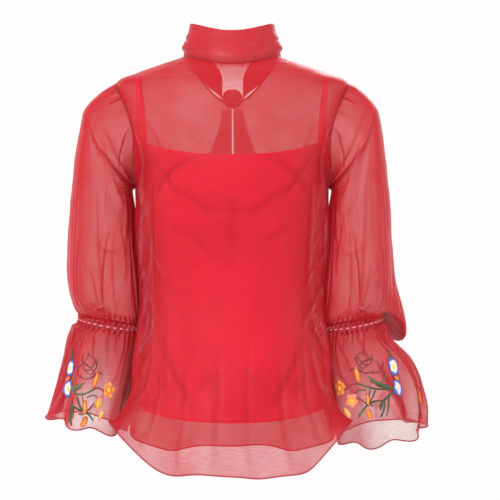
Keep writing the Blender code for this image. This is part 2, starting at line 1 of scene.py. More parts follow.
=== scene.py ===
# %% [markdown]
# # A sheer tie neck shirt, seen from behind
#
# The real shirt is cut from polyester organza: a crisp, very thin plain weave that lets light
# through. A red camisole lies inside it and shows as its lining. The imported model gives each
# piece as a plain solid. This notebook puts a finer cloth in the place of each one, with the folds,
# seams, gathers and embroidery that a solid leaves out.

# %% Load the frame
import math
import random
from collections import namedtuple

import bmesh
import bpy
from mathutils import Matrix, Vector, noise
from mathutils.bvhtree import BVHTree


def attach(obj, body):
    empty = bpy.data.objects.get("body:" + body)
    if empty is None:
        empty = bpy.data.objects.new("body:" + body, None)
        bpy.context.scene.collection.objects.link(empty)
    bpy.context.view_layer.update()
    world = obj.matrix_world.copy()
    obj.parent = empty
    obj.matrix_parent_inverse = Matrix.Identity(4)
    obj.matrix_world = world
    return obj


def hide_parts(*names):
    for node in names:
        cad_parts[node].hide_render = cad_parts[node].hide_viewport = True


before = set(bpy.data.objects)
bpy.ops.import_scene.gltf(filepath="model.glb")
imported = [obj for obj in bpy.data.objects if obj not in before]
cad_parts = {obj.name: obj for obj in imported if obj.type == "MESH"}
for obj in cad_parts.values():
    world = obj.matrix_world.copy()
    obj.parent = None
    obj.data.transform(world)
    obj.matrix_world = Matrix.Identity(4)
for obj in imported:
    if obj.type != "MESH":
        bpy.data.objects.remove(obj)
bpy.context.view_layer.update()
MM = 0.001
print("nodes:", sorted(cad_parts))

# %% [markdown]
# ## Camera, light and floor
#
# The picture was taken level with the waist, square to the back, from about three metres. A long
# lens at that distance gives its slight perspective. The light is a soft white room with one broad
# lamp above the camera and a weaker one on each side, so that folds still have a light and a dark
# side. A fourth lamp stands beyond the shirt and shines through it. The shirt hangs as high as it
# would be worn, and the pale floor is far below it.

# %% Camera, lights, floor
CAMERA_PLACE = (-0.026, 2.8, -0.2755)
FRAME_WIDTH = 0.725  # what the picture spans at the origin, in metres
SENSOR_WIDTH = 36
ROOM_LIGHT = 1.0
FLOOR_Z = -1.35
FLOOR_RADIUS = 3.0
AIM = Vector((0, 0, -0.28))
Lamp = namedtuple("Lamp", "name place size power")
LAMPS = [
    Lamp("key_lamp", (0.8, 2.4, 1.2), 1.0, 50),
    Lamp("left_lamp", (2.5, 1.0, 0.2), 1.2, 14),
    Lamp("right_lamp", (-2.5, 0.8, 0.4), 1.2, 18),
    Lamp("front_lamp", (-0.8, -2.6, 1.1), 1.2, 20),
]


def hex_colour(code):
    """An sRGB hex value as the linear colour that a shader takes."""
    channels = [int(code[start:start + 2], 16) / 255 for start in (1, 3, 5)]
    linear = [
        channel / 12.92 if channel <= 0.04045 else ((channel + 0.055) / 1.055) ** 2.4
        for channel in channels
    ]
    return (*linear, 1.0)


camera_data = bpy.data.cameras.new("camera")
camera_data.sensor_width = SENSOR_WIDTH
camera_data.lens = SENSOR_WIDTH * CAMERA_PLACE[1] / FRAME_WIDTH
camera = bpy.data.objects.new("camera", camera_data)
camera.location = CAMERA_PLACE
camera.rotation_euler = (math.radians(90), 0, math.radians(180))
bpy.context.scene.collection.objects.link(camera)
bpy.context.scene.camera = camera

world = bpy.data.worlds.new("room")
world.use_nodes = True
world.node_tree.nodes["Background"].inputs["Color"].default_value = hex_colour("#FFFDFD")
world.node_tree.nodes["Background"].inputs["Strength"].default_value = ROOM_LIGHT
bpy.context.scene.world = world

for lamp in LAMPS:
    light = bpy.data.lights.new(lamp.name, "AREA")
    light.size = lamp.size
    light.energy = lamp.power
    held = bpy.data.objects.new(lamp.name, light)
    held.location = lamp.place
    held.rotation_euler = (AIM - held.location).to_track_quat("-Z", "Y").to_euler()
    bpy.context.scene.collection.objects.link(held)

bpy.context.scene.view_settings.view_transform = "Standard"
# Light passes up to six sheer layers here, each with two faces.
bpy.context.scene.cycles.transparent_max_bounces = 32
print("lens:", round(camera_data.lens, 1), "mm")

# %% [markdown]
# ## How the materials are built
#
# One function adds a node with its settings and its links. Everything that is the same all over a
# surface, such as the weight of the sheen, is set straight on the shader.

# %% Node helper
def add(tree, kind, inputs=None, **settings):
    """A new node. An input is a value, or the output of another node."""
    made = tree.nodes.new(kind)
    for name, value in settings.items():
        setattr(made, name, value)
    for name, value in (inputs or {}).items():
        if isinstance(value, bpy.types.NodeSocket):
            tree.links.new(value, made.inputs[name])
        else:
            made.inputs[name].default_value = value
    return made


def new_material(name, roughness, sheen=0.0, sheen_tint="#FFFFFF", shine=0.5):
    made = bpy.data.materials.new(name)
    made.use_nodes = True
    shader = made.node_tree.nodes["Principled BSDF"]
    shader.inputs["Roughness"].default_value = roughness
    shader.inputs["Sheen Weight"].default_value = sheen
    shader.inputs["Sheen Roughness"].default_value = 0.4
    shader.inputs["Sheen Tint"].default_value = hex_colour(sheen_tint)
    shader.inputs["Specular IOR Level"].default_value = shine
    shader.inputs["IOR"].default_value = 1.5
    return made, made.node_tree, shader


# Node sockets of a Mix node that mixes colours
MIX_A = 6
MIX_B = 7
MIX_RESULT = 2
# A wave texture at scale 1 repeats every tau / 20 units.
WAVE_PERIOD = math.tau / 20

# %% [markdown]
# ## Organza
#
# Organza is woven from fine twisted filament yarn, about 0.2 mm apart, and left stiff. The eye sees
# a clear film of colour that gets denser where the cloth is folded, gathered or seen at a slant,
# because more threads are then in the way. A single thread is far too fine for this picture, so the
# weave is drawn 0.8 mm apart, with the longer slubs that give organza its watered look.

# %% Organza material
THREAD_M = 0.0008
SLUB_ACROSS = 90  # slubs a metre, across the cloth and along it
SLUB_ALONG = 900
CLOUDS = 26  # slow changes of density, a metre
FOLD_COVER = 0.5  # what a full fold adds to the cover
LEAST_SLANT = 0.22
# The deep red of folds, gathers and creases: doubled cloth and painted shade
FOLD_SHADE_RED = "#8A0C1C"
# The pale pink of the painted highlight beside crease ridges
PAINTED_GLEAM_PINK = "#F0A4A8"


def organza(name, cover, light_red, deep_red):
    """cover is the share of light that one face of the cloth holds back when seen square on."""
    made, tree, shader = new_material(name, 0.36, shine=0.14)
    cut = add(tree, "ShaderNodeUVMap", uv_map="cut").outputs["UV"]
    fold = add(tree, "ShaderNodeAttribute", attribute_name="fold").outputs["Fac"]
    painted_gleam = add(tree, "ShaderNodeAttribute", attribute_name="painted_gleam").outputs["Fac"]
    warp, weft = [
        add(
            tree, "ShaderNodeTexWave", {"Vector": cut, "Scale": WAVE_PERIOD / THREAD_M, "Distortion": 0.4},
            bands_direction=way,
        ).outputs["Fac"]
        for way in ("X", "Y")
    ]
    weave = add(tree, "ShaderNodeMath", {0: warp, 1: weft}, operation="MAXIMUM").outputs[0]
    stretched = add(
        tree, "ShaderNodeMapping", {"Vector": cut, "Scale": (SLUB_ACROSS, SLUB_ALONG, 1)}
    ).outputs["Vector"]
    slub = add(
        tree, "ShaderNodeTexNoise", {"Vector": stretched, "Scale": 1.0, "Detail": 3.0}
    ).outputs["Fac"]
    cloud = add(tree, "ShaderNodeTexNoise", {"Vector": cut, "Scale": CLOUDS, "Detail": 2.0}).outputs["Fac"]
    # The weave, the slubs and the clouds each vary the cover a little.
    worn = cover
    for pattern, low, high, least, most in (
        (weave, 0.0, 1.0, 0.86, 1.10),
        (slub, 0.3, 0.7, 0.90, 1.10),
        (cloud, 0.3, 0.7, 0.92, 1.08),
    ):
        spread = add(
            tree, "ShaderNodeMapRange",
            {"Value": pattern, "From Min": low, "From Max": high, "To Min": least, "To Max": most},
        ).outputs[0]
        worn = add(tree, "ShaderNodeMath", {0: spread, 1: worn}, operation="MULTIPLY").outputs[0]
    square_on = add(
        tree, "ShaderNodeMath", {0: fold, 1: FOLD_COVER, 2: worn}, operation="MULTIPLY_ADD", use_clamp=True
    ).outputs[0]
    # At a slant the light passes more threads: what gets through is raised to 1 / cos.
    facing = add(tree, "ShaderNodeLayerWeight", {"Blend": 0.5}).outputs["Facing"]
    slant = add(tree, "ShaderNodeMath", {0: 1.0, 1: facing}, operation="SUBTRACT").outputs[0]
    slant = add(tree, "ShaderNodeMath", {0: slant, 1: LEAST_SLANT}, operation="MAXIMUM").outputs[0]
    turns = add(tree, "ShaderNodeMath", {0: 1.0, 1: slant}, operation="DIVIDE").outputs[0]
    through = add(tree, "ShaderNodeMath", {0: 1.0, 1: square_on}, operation="SUBTRACT").outputs[0]
    through = add(tree, "ShaderNodeMath", {0: through, 1: turns}, operation="POWER").outputs[0]
    alpha = add(
        tree, "ShaderNodeMath", {0: 1.0, 1: through}, operation="SUBTRACT", use_clamp=True
    ).outputs[0]
    tree.links.new(alpha, shader.inputs["Alpha"])
    # Threads vary a little in colour. Folds are doubled cloth and painted shade, ridges a painted
    # highlight.
    colour = hex_colour(light_red)
    for share, red in ((slub, deep_red), (fold, FOLD_SHADE_RED), (painted_gleam, PAINTED_GLEAM_PINK)):
        colour = add(
            tree, "ShaderNodeMix", {0: share, MIX_A: colour, MIX_B: hex_colour(red)}, data_type="RGBA"
        ).outputs[MIX_RESULT]
    tree.links.new(colour, shader.inputs["Base Color"])
    bump = add(tree, "ShaderNodeBump", {"Height": weave, "Strength": 0.15, "Distance": 0.0002})
    tree.links.new(bump.outputs["Normal"], shader.inputs["Normal"])
    return made


sheer = organza("polyester organza", 0.42, "#C4202A", "#A2121E")
doubled = organza("folded organza", 0.84, "#B62832", "#9E1C26")
print("organza:", len(sheer.node_tree.nodes), "nodes")

# %% [markdown]
# ## Seams and rolled hems
#
# Sheer cloth is joined with French seams and edged with a narrow rolled hem. Three or four layers
# lie on each other there, so the line is almost solid and a deeper red, with a stitch every 2.5 mm.

# %% Seam material
STITCH_M = 0.0025


def seam_cloth(name, red, dark):
    made, tree, shader = new_material(name, 0.5, sheen=0.15, sheen_tint="#FFB0BC", shine=0.35)
    along = add(tree, "ShaderNodeUVMap", uv_map="cut").outputs["UV"]
    stitch = add(
        tree, "ShaderNodeTexWave", {"Vector": along, "Scale": WAVE_PERIOD / STITCH_M, "Distortion": 0.6},
        bands_direction="X",
    ).outputs["Fac"]
    colour = add(
        tree, "ShaderNodeMix", {0: stitch, MIX_A: hex_colour(dark), MIX_B: hex_colour(red)},
        data_type="RGBA",
    ).outputs[MIX_RESULT]
    tree.links.new(colour, shader.inputs["Base Color"])
    bump = add(tree, "ShaderNodeBump", {"Height": stitch, "Strength": 0.5, "Distance": 0.0004})
    tree.links.new(bump.outputs["Normal"], shader.inputs["Normal"])
    shader.inputs["Alpha"].default_value = 1.0
    return made


seam_red = seam_cloth("french seam", "#961420", "#6A0A14")
hem_red = seam_cloth("rolled hem", "#B03444", "#8C1C2C")
print("seams: a stitch every", round(STITCH_M / MM, 1), "mm")

# %% [markdown]
# ## Camisole cloth
#
# The camisole is a smooth knitted satin of bright red. It reflects broadly and evenly, and its
# stitches are too fine to see, so the material has a faint vertical rib 1.2 mm apart and a soft
# change of tone. The fold value darkens it as painted shade in its creases and beside the sleeves.

# %% Camisole material
RIB_M = 0.0012


def satin_knit(name, red, dark):
    made, tree, shader = new_material(name, 0.46, sheen=0.05, sheen_tint="#FF9AA6", shine=0.15)
    cut = add(tree, "ShaderNodeUVMap", uv_map="cut").outputs["UV"]
    fold = add(tree, "ShaderNodeAttribute", attribute_name="fold").outputs["Fac"]
    rib = add(
        tree, "ShaderNodeTexWave", {"Vector": cut, "Scale": WAVE_PERIOD / RIB_M, "Distortion": 0.2},
        bands_direction="X",
    ).outputs["Fac"]
    cloud = add(tree, "ShaderNodeTexNoise", {"Vector": cut, "Scale": 14.0, "Detail": 3.0}).outputs["Fac"]
    shade = add(
        tree, "ShaderNodeMapRange",
        {"Value": cloud, "From Min": 0.3, "From Max": 0.7, "To Min": 0.0, "To Max": 0.22},
    ).outputs[0]
    # fold adds painted shade from creases and sides to the random tone
    shade = add(tree, "ShaderNodeMath", {0: shade, 1: fold}, operation="ADD", use_clamp=True).outputs[0]
    colour = add(
        tree, "ShaderNodeMix", {0: shade, MIX_A: hex_colour(red), MIX_B: hex_colour(dark)},
        data_type="RGBA",
    ).outputs[MIX_RESULT]
    tree.links.new(colour, shader.inputs["Base Color"])
    bump = add(tree, "ShaderNodeBump", {"Height": rib, "Strength": 0.12, "Distance": 0.0002})
    tree.links.new(bump.outputs["Normal"], shader.inputs["Normal"])
    return made


camisole_red = satin_knit("knitted satin", "#FF3656", "#92041A")
print("camisole: a rib every", round(RIB_M / MM, 1), "mm")

# %% [markdown]
# ## The shape of the body
#
# The body is a stack of rounded rings, each wider or deeper than the next. The tables below are the
# shirt's own sizes in millimetres, the same ones that its solids were made from, so every finer
# cloth lies where its solid is. A ring's height differs at the side, the front and the back,
# because a shirt slopes over the shoulders and its hem is cut in a curve.

# %% Small maths helpers
def mix(first, second, share):
    return first + (second - first) * share


def smooth(share):
    share = min(max(share, 0.0), 1.0)
    return share * share * (3 - 2 * share)


def bell(distance, width):
    return math.exp(-((distance / width) ** 2))


def turn_between(angle, other):
    """The shorter way round from one angle to the other, in degrees."""
    return (angle - other + 180) % 360 - 180


def turned_by(gap, width):
    """The shorter way across a cut that is joined into a tube."""
    return (gap + width / 2) % width - width / 2


def row_at(table, place):
    """The row at a place between the rows of a table, on a smooth curve through them."""
    last = len(table) - 1
    place = min(max(place, 0.0), float(last))
    low = min(int(place), last - 1)
    share = place - low
    near = [table[min(max(low + step, 0), last)] for step in (-1, 0, 1, 2)]
    square = share * share
    cube = square * share
    values = [
        start * (2 * cube - 3 * square + 1)
        + (end - before) / 2 * (cube - 2 * square + share)
        + end * (3 * square - 2 * cube)
        + (after - start) / 2 * (cube - square)
        for before, start, end, after in zip(*near)
    ]
    return type(table[0])(*values)


def ring_point(half_width, depth, power, angle):
    """X and Y on a rounded section. The angle is 0 at the left side and 90 at the centre back."""
    cos = math.cos(math.radians(angle))
    sin = math.sin(math.radians(angle))
    x = math.copysign(half_width * abs(cos) ** (2 / power), cos)
    y = math.copysign(depth * abs(sin) ** (2 / power), sin)
    return x, y


# %% Body rings and hem waves
BodyRow = namedtuple("BodyRow", "side_z front_z back_z half_width front_depth back_depth power")
BODY_ROWS = [
    BodyRow(4, -58, -10, 69.5, 66, 57, 2.00),  # neck seam
    BodyRow(-2, -64, -15, 86, 72, 65, 2.00),
    BodyRow(-10, -71, -21, 110, 77, 72, 2.05),
    BodyRow(-20, -80, -29, 138, 83, 79, 2.10),
    BodyRow(-33, -91, -40, 166, 89, 86, 2.20),  # shoulder point
    BodyRow(-60, -106, -62, 164, 98, 93, 2.30),
    BodyRow(-90, -124, -92, 159, 107, 98, 2.35),
    BodyRow(-120, -144, -122, 152, 114, 100, 2.40),
    BodyRow(-152, -166, -154, 145, 119, 101, 2.40),
    BodyRow(-186, -192, -188, 139, 121, 100, 2.40),  # underarm
    BodyRow(-230, -238, -232, 137.5, 117, 96, 2.35),
    BodyRow(-280, -292, -284, 132.5, 110, 91, 2.30),
    BodyRow(-330, -346, -338, 127.5, 105, 89, 2.30),  # waist
    BodyRow(-385, -404, -398, 125.5, 106, 93, 2.30),
    BodyRow(-440, -464, -464, 132, 111, 101, 2.25),
    BodyRow(-487, -520, -527, 138, 118, 111, 2.20),
    BodyRow(-528, -574, -590, 147, 125, 121, 2.20),  # hem
]
SHOULDER_ROW = 4
UNDERARM_ROW = 9
HEM_ROW = 16
RING_BEND = 2.6
TAIL_REACH = 0.85
TAIL_START_ROW = 12
ARMHOLE_DEPTH = 50
ARMHOLE_ROUND = 0.7
SIDE_SEAM = 0.4
SHOULDER_SEAM = 0.7

HemWave = namedtuple("HemWave", "angle reach width lift")
HEM_WAVES = [
    HemWave(25, 40, 12, 38),
    HemWave(54, -8, 12, -2),
    HemWave(75, 7, 9, 3),
    HemWave(104, -5, 10, -4),
    HemWave(126, 7, 11, 1),
    HemWave(155, 37, 12, 40),
    HemWave(206, 16, 13, -5),
    HemWave(232, -7, 11, -3),
    HemWave(256, 10, 11, 3),
    HemWave(284, 9, 11, 2),
    HemWave(309, -6, 11, -3),
    HemWave(335, 14, 13, -3),
]
WAVE_START_ROW = 14.3
WAVE_SPREAD = 1.3

# Soft folds of the back beside the side seams, which lap past the cuffs as they are seen
SideFold = namedtuple("SideFold", "angle width row rows reach")
SIDE_FOLDS = [
    SideFold(22, 9, 10.8, 1.7, 11),
    SideFold(19, 9, 13.7, 1.5, 17),
    SideFold(158, 9, 10.8, 1.7, 11),
    SideFold(161, 9, 13.7, 1.5, 17),
]
print(len(BODY_ROWS), "body rings,", len(HEM_WAVES), "hem waves")

# %% [markdown]
# A place between two rings is found on a smooth curve through them. The panels end a hair short of
# each other at the seams, and the armholes are cut away from the side, deepest half way down.

# %% Points on the body and its edges
def body_point(angle, place):
    """A point on the body, at an angle and a place between its rows."""
    row = row_at(BODY_ROWS, place)
    at_back = math.sin(math.radians(angle)) > 0
    x, y = ring_point(row.half_width, row.back_depth if at_back else row.front_depth, row.power, angle)
    from_side = abs(math.sin(math.radians(angle)))
    tail = smooth((place - TAIL_START_ROW) / (HEM_ROW - TAIL_START_ROW))
    turned = mix(from_side**RING_BEND, smooth(from_side / TAIL_REACH), tail)
    z = mix(row.side_z, row.back_z if at_back else row.front_z, turned)
    flare = max(0.0, (place - WAVE_START_ROW) / (HEM_ROW - WAVE_START_ROW)) ** WAVE_SPREAD
    out = Vector((x, y)).normalized()
    for wave in HEM_WAVES:
        share = flare * bell(turn_between(angle, wave.angle), wave.width)
        x += out.x * wave.reach * share
        y += out.y * wave.reach * share
        z += wave.lift * share
    for fold in SIDE_FOLDS:
        share = bell(turn_between(angle, fold.angle), fold.width) * bell(place - fold.row, fold.rows)
        x += out.x * fold.reach * share
        y += out.y * fold.reach * share
    return Vector((x, y, z))


def body_outward(angle, place):
    """The direction out of the body's surface, from its slope across and down."""
    across = body_point(angle + 0.5, place) - body_point(angle - 0.5, place)
    down = body_point(angle, place + 0.05) - body_point(angle, place - 0.05)
    return down.cross(across).normalized()


def angle_at_depth(place, depth, at_back):
    """How far from the side, in degrees, the section at this place reaches a depth."""
    row = row_at(BODY_ROWS, place)
    share = depth / (row.back_depth if at_back else row.front_depth)
    return math.degrees(math.asin(share ** (row.power / 2)))


def armhole_depth(place):
    share = (place - SHOULDER_ROW) / (UNDERARM_ROW - SHOULDER_ROW)
    if not 0 < share < 1:
        return 0.0
    return ARMHOLE_DEPTH * math.sin(math.pi * share) ** ARMHOLE_ROUND


def panel_point(across, place, at_back):
    """A point of the back or front panel, which ends at its seams and armholes."""
    seam = SHOULDER_SEAM if place <= SHOULDER_ROW else SIDE_SEAM
    depth = max(seam / 2, armhole_depth(place))
    edge = angle_at_depth(place, depth, at_back)
    start = 0 if at_back else 180
    return body_point(start + mix(edge, 180 - edge, across), place)


def armhole_point(side, angle):
    """A point on the armhole's edge: 0 at the shoulder, 90 at the back, 180 at the underarm."""
    turn = angle % 360
    at_back = turn <= 180
    share = (turn if at_back else 360 - turn) / 180
    place = mix(SHOULDER_ROW, UNDERARM_ROW, share)
    edge = angle_at_depth(place, armhole_depth(place), at_back)
    around = edge if at_back else -edge
    return body_point(around if side == "left" else 180 - around, place)


print("chest ring:", round(2 * BODY_ROWS[UNDERARM_ROW].half_width), "mm wide")

# %% [markdown]
# ## Making a piece of cloth
#
# Every piece starts as a flat grid, like cloth on a cutting table. A function bends it to its worn
# form. Creases are then drawn on the flat cut, in millimetres from its top left corner, and raised
# or sunk along the cloth's own outward direction. Each one is a soft ridge with a bow and two faded
# ends. Two values are kept at every point for the material: fold, where the cloth doubles on itself
# and is denser and which also darkens it as painted shade, and a painted highlight beside a ridge.

# %% Creases
# Strength, offset and width of the painted highlight beside each crease
PAINTED_GLEAM = 0.16
PAINTED_GLEAM_ASIDE = 1.1
PAINTED_GLEAM_WIDTH = 0.3
DARK_WIDTH = 0.55
CREASE_REACH = 3  # how many widths from its middle a crease is flat again
END_ROUND = 0.7
Crease = namedtuple("Crease", "across down end_across end_down width height bow dark")


def crease_at(across, down, creases, round_width=None):
    """Height, darkness and painted highlight, at one place of the cut, of all its creases together.

    round_width is the width of a cut that is joined into a tube.
    """
    height = 0.0
    dark = 0.0
    painted_gleam = 0.0
    for crease in creases:
        run_x = crease.end_across - crease.across
        run_y = crease.end_down - crease.down
        length = math.hypot(run_x, run_y)
        from_x = across - crease.across
        if round_width:
            middle = (crease.across + crease.end_across) / 2
            from_x = middle - crease.across + turned_by(across - middle, round_width)
        from_y = down - crease.down
        share = (from_x * run_x + from_y * run_y) / (length * length)
        if not 0 < share < 1:
            continue
        aside = (from_x * run_y - from_y * run_x) / length - crease.bow * math.sin(math.pi * share)
        if abs(aside) > CREASE_REACH * crease.width:
            continue
        ends = math.sin(math.pi * share) ** END_ROUND
        lit = aside - crease.width * PAINTED_GLEAM_ASIDE
        height += crease.height * bell(aside, crease.width) * ends
        # The darkness is doubled cloth and painted shade; the pale line beside it is a painted highlight.
        dark += crease.dark * bell(aside, crease.width * DARK_WIDTH) * ends
        painted_gleam += PAINTED_GLEAM * crease.dark * bell(lit, crease.width * PAINTED_GLEAM_WIDTH) * ends
    return height, dark, painted_gleam


def both_halves(creases, width):
    """The creases of the left half of a cut, and the same ones turned over onto its right half."""
    return creases + [
        crease._replace(
            across=width - crease.across, end_across=width - crease.end_across, bow=-crease.bow
        )
        for crease in creases
    ]


# %% [markdown]
# Small uneven creases would be tedious to draw one by one. They are drawn at random within a box of
# the cut, from a seed of their own, so that every run gives the same ones.

# %% Scattered creases
Scatter = namedtuple("Scatter", "seed count box length slant width height dark")
SCATTER_BOW = 0.12  # of a crease's length
SCATTER_FAINTEST = 0.4


def scattered(scatter):
    """Uneven creases. The box is (low across, low down, high across, high down)."""
    draw = random.Random(scatter.seed)
    low_across, low_down, high_across, high_down = scatter.box
    made = []
    for _ in range(scatter.count):
        across = draw.uniform(low_across, high_across)
        down = draw.uniform(low_down, high_down)
        run = draw.uniform(*scatter.length)
        turn = math.radians(draw.uniform(*scatter.slant))
        made.append(
            Crease(
                across, down, across + run * math.sin(turn), down + run * math.cos(turn),
                draw.uniform(*scatter.width), draw.uniform(*scatter.height) * draw.choice((-1, 1)),
                draw.uniform(-SCATTER_BOW, SCATTER_BOW) * run,
                draw.uniform(SCATTER_FAINTEST, 1.0) * scatter.dark,
            )
        )
    return made


# %% [markdown]
# The cloth maker puts these together. A fine crumple is added to the creases, because organza never
# lies quite smooth. Last, Solidify gives the cloth its thickness.

# %% The cloth maker
SHEER_THICKNESS = 0.5
THINNEST = -0.55  # the least value of fold, where the cloth is drawn out flat
COARSE_CRUMPLE = 24  # lumps a metre
FINE_CRUMPLE = 70
FINE_SHARE = 0.4
SLIT_HALF = 1.0
ON_MIDDLE = 1e-4
SAME_PLACE = 1e-6


def piece_from(name, bm, finish):
    """An object at the origin, from a finished bmesh."""
    mesh = bpy.data.meshes.new(name)
    bm.to_mesh(mesh)
    bm.free()
    mesh.shade_smooth()
    mesh.materials.append(finish)
    made = bpy.data.objects.new(name, mesh)
    bpy.context.scene.collection.objects.link(made)
    return made


def thicken(piece, thickness):
    solidify = piece.modifiers.new("thickness", "SOLIDIFY")
    solidify.thickness = thickness * MM
    solidify.offset = 0


def cloth(
    name, columns, rows, form, finish, cut, creases=(), crumple=0.0, darkness=None,
    thickness=SHEER_THICKNESS, closed=False, outward=None, slit_down=0.0,
):
    """A grid bent by form(across, down), both from 0 to 1. cut is its flat width and length in mm."""
    bm = bmesh.new()
    bmesh.ops.create_grid(bm, x_segments=columns, y_segments=rows, size=0.5)
    uv = bm.loops.layers.uv.new("cut")
    for face in bm.faces:
        for loop in face.loops:
            place = loop.vert.co
            loop[uv].uv = ((place.x + 0.5) * cut[0] * MM, (0.5 - place.y) * cut[1] * MM)
    if slit_down:
        middle = [
            edge
            for edge in bm.edges
            if all(abs(vert.co.x) < ON_MIDDLE and 0.5 - vert.co.y < slit_down for vert in edge.verts)
        ]
        bmesh.ops.split_edges(bm, edges=middle)
    across_layer = bm.verts.layers.float.new("across")
    down_layer = bm.verts.layers.float.new("down")
    fold_and_shade_layer = bm.verts.layers.float.new("fold")
    painted_gleam_layer = bm.verts.layers.float.new("painted_gleam")
    placed = []
    for vert in bm.verts:
        across, down = vert.co.x + 0.5, 0.5 - vert.co.y
        vert[across_layer] = across
        vert[down_layer] = down
        point = form(across, down)
        if slit_down and abs(vert.co.x) < ON_MIDDLE and down < slit_down:
            beside = sum(face.calc_center_median().x for face in vert.link_faces)
            point.x -= math.copysign(SLIT_HALF, -beside)
        placed.append(point * MM)
    for vert, point in zip(bm.verts, placed):
        vert.co = point
    if closed:
        bmesh.ops.remove_doubles(bm, verts=bm.verts, dist=SAME_PLACE)
    bm.normal_update()
    centre = sum((vert.co for vert in bm.verts), Vector()) / len(bm.verts)
    facing = sum(
        face.normal.dot(outward or face.calc_center_median() - centre) * face.calc_area()
        for face in bm.faces
    )
    if facing < 0:
        bmesh.ops.reverse_faces(bm, faces=bm.faces)
        bm.normal_update()
    moved = []
    for vert in bm.verts:
        across, down = vert[across_layer], vert[down_layer]
        height, dark, painted_gleam = crease_at(
            across * cut[0], down * cut[1], creases, cut[0] if closed else None
        )
        if crumple:
            height += crumple * noise.noise(vert.co * COARSE_CRUMPLE)
            height += FINE_SHARE * crumple * noise.noise(vert.co * FINE_CRUMPLE)
        if darkness:
            dark += darkness(across, down)
        # fold holds denser cloth together with painted shade; the second value is a painted highlight.
        vert[fold_and_shade_layer] = min(max(dark, THINNEST), 1.0)
        vert[painted_gleam_layer] = min(painted_gleam, 1.0)
        moved.append(vert.co + vert.normal * height * MM)
    for vert, point in zip(bm.verts, moved):
        vert.co = point
    made = piece_from(name, bm, finish)
    thicken(made, thickness)
    area = sum(face.area for face in made.data.polygons)
    print(name, len(made.data.polygons), "faces,", round(area, 4), "m2")
    return made


# %% [markdown]
# Each cloth takes the place of one solid of the imported model, which is hidden.

# %% What each piece stands for
def stands_for(piece, node, slot):
    """Attaches the piece to the root and hides the solid that it takes the place of."""
    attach(piece, "root")
    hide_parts(node)
    # Red organza lets most red light through, so it hardly shades what lies under it.
    piece.visible_shadow = slot == "camisole"


# %% [markdown]
# ## Tubes for seams and hems
#
# A French seam or a rolled hem is a thin roll of cloth along an edge. It is a strip bent round a
# path: the grid's length follows the path, and its width goes round it.

# %% The tube maker
TUBE_SIDES = 8
HEM_ROUND = 7


def trim(name, bm, finish):
    """A piece that lies on the cloth and moves with the shirt, from a finished bmesh."""
    made = piece_from(name, bm, finish)
    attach(made, "root")
    return made


def tube(name, path, radius, steps, finish, closed=False):
    """A roll of cloth along path(share), with the share from 0 to 1. Sizes are in mm.

    The radius is one value, or the value at each share.
    """
    count = steps if closed else steps + 1
    points = [path(step / steps) for step in range(count)]
    length = sum((end - start).length for start, end in zip(points, points[1:]))
    bm = bmesh.new()
    bmesh.ops.create_grid(bm, x_segments=steps, y_segments=TUBE_SIDES, size=0.5)
    uv = bm.loops.layers.uv.new("cut")
    for face in bm.faces:
        for loop in face.loops:
            place = loop.vert.co
            loop[uv].uv = ((place.x + 0.5) * length * MM, (place.y + 0.5) * HEM_ROUND * MM)
    placed = []
    for vert in bm.verts:
        step = round((vert.co.x + 0.5) * steps)
        here = points[step % count]
        if closed:
            ahead, behind = points[(step + 1) % count], points[(step - 1) % count]
        else:
            ahead, behind = points[min(step + 1, steps)], points[max(step - 1, 0)]
        along = (ahead - behind).normalized()
        up = Vector((0, 0, 1)) if abs(along.z) < 0.9 else Vector((0, 1, 0))
        side = along.cross(up).normalized()
        up = side.cross(along)
        turn = math.tau * (vert.co.y + 0.5)
        thick = radius(step / steps) if callable(radius) else radius
        placed.append((here + (side * math.cos(turn) + up * math.sin(turn)) * thick) * MM)
    for vert, point in zip(bm.verts, placed):
        vert.co = point
    bmesh.ops.remove_doubles(bm, verts=bm.verts, dist=SAME_PLACE)
    if not closed:
        bmesh.ops.holes_fill(bm, edges=[edge for edge in bm.edges if edge.is_boundary])
    bmesh.ops.recalc_face_normals(bm, faces=bm.faces)
    print(name, round(length), "mm long")
    return trim(name, bm, finish)


# %% [markdown]
# ## Back and front panels
#
# The back is one panel from the neck seam to the curved shirt-tail hem. Beside each side seam the
# cloth is drawn in, lies denser and darker with painted shade, and breaks into short creases with a
# painted highlight. The front is cut the same way, with a slit at the neck that the tie closes. It
# shows only faintly, through the back, so its folds are few and plain. The cut is mirrored about its
# middle, and so are most of its creases.

# %% Creases of the back and front
BODY_CUT = (350, 610)
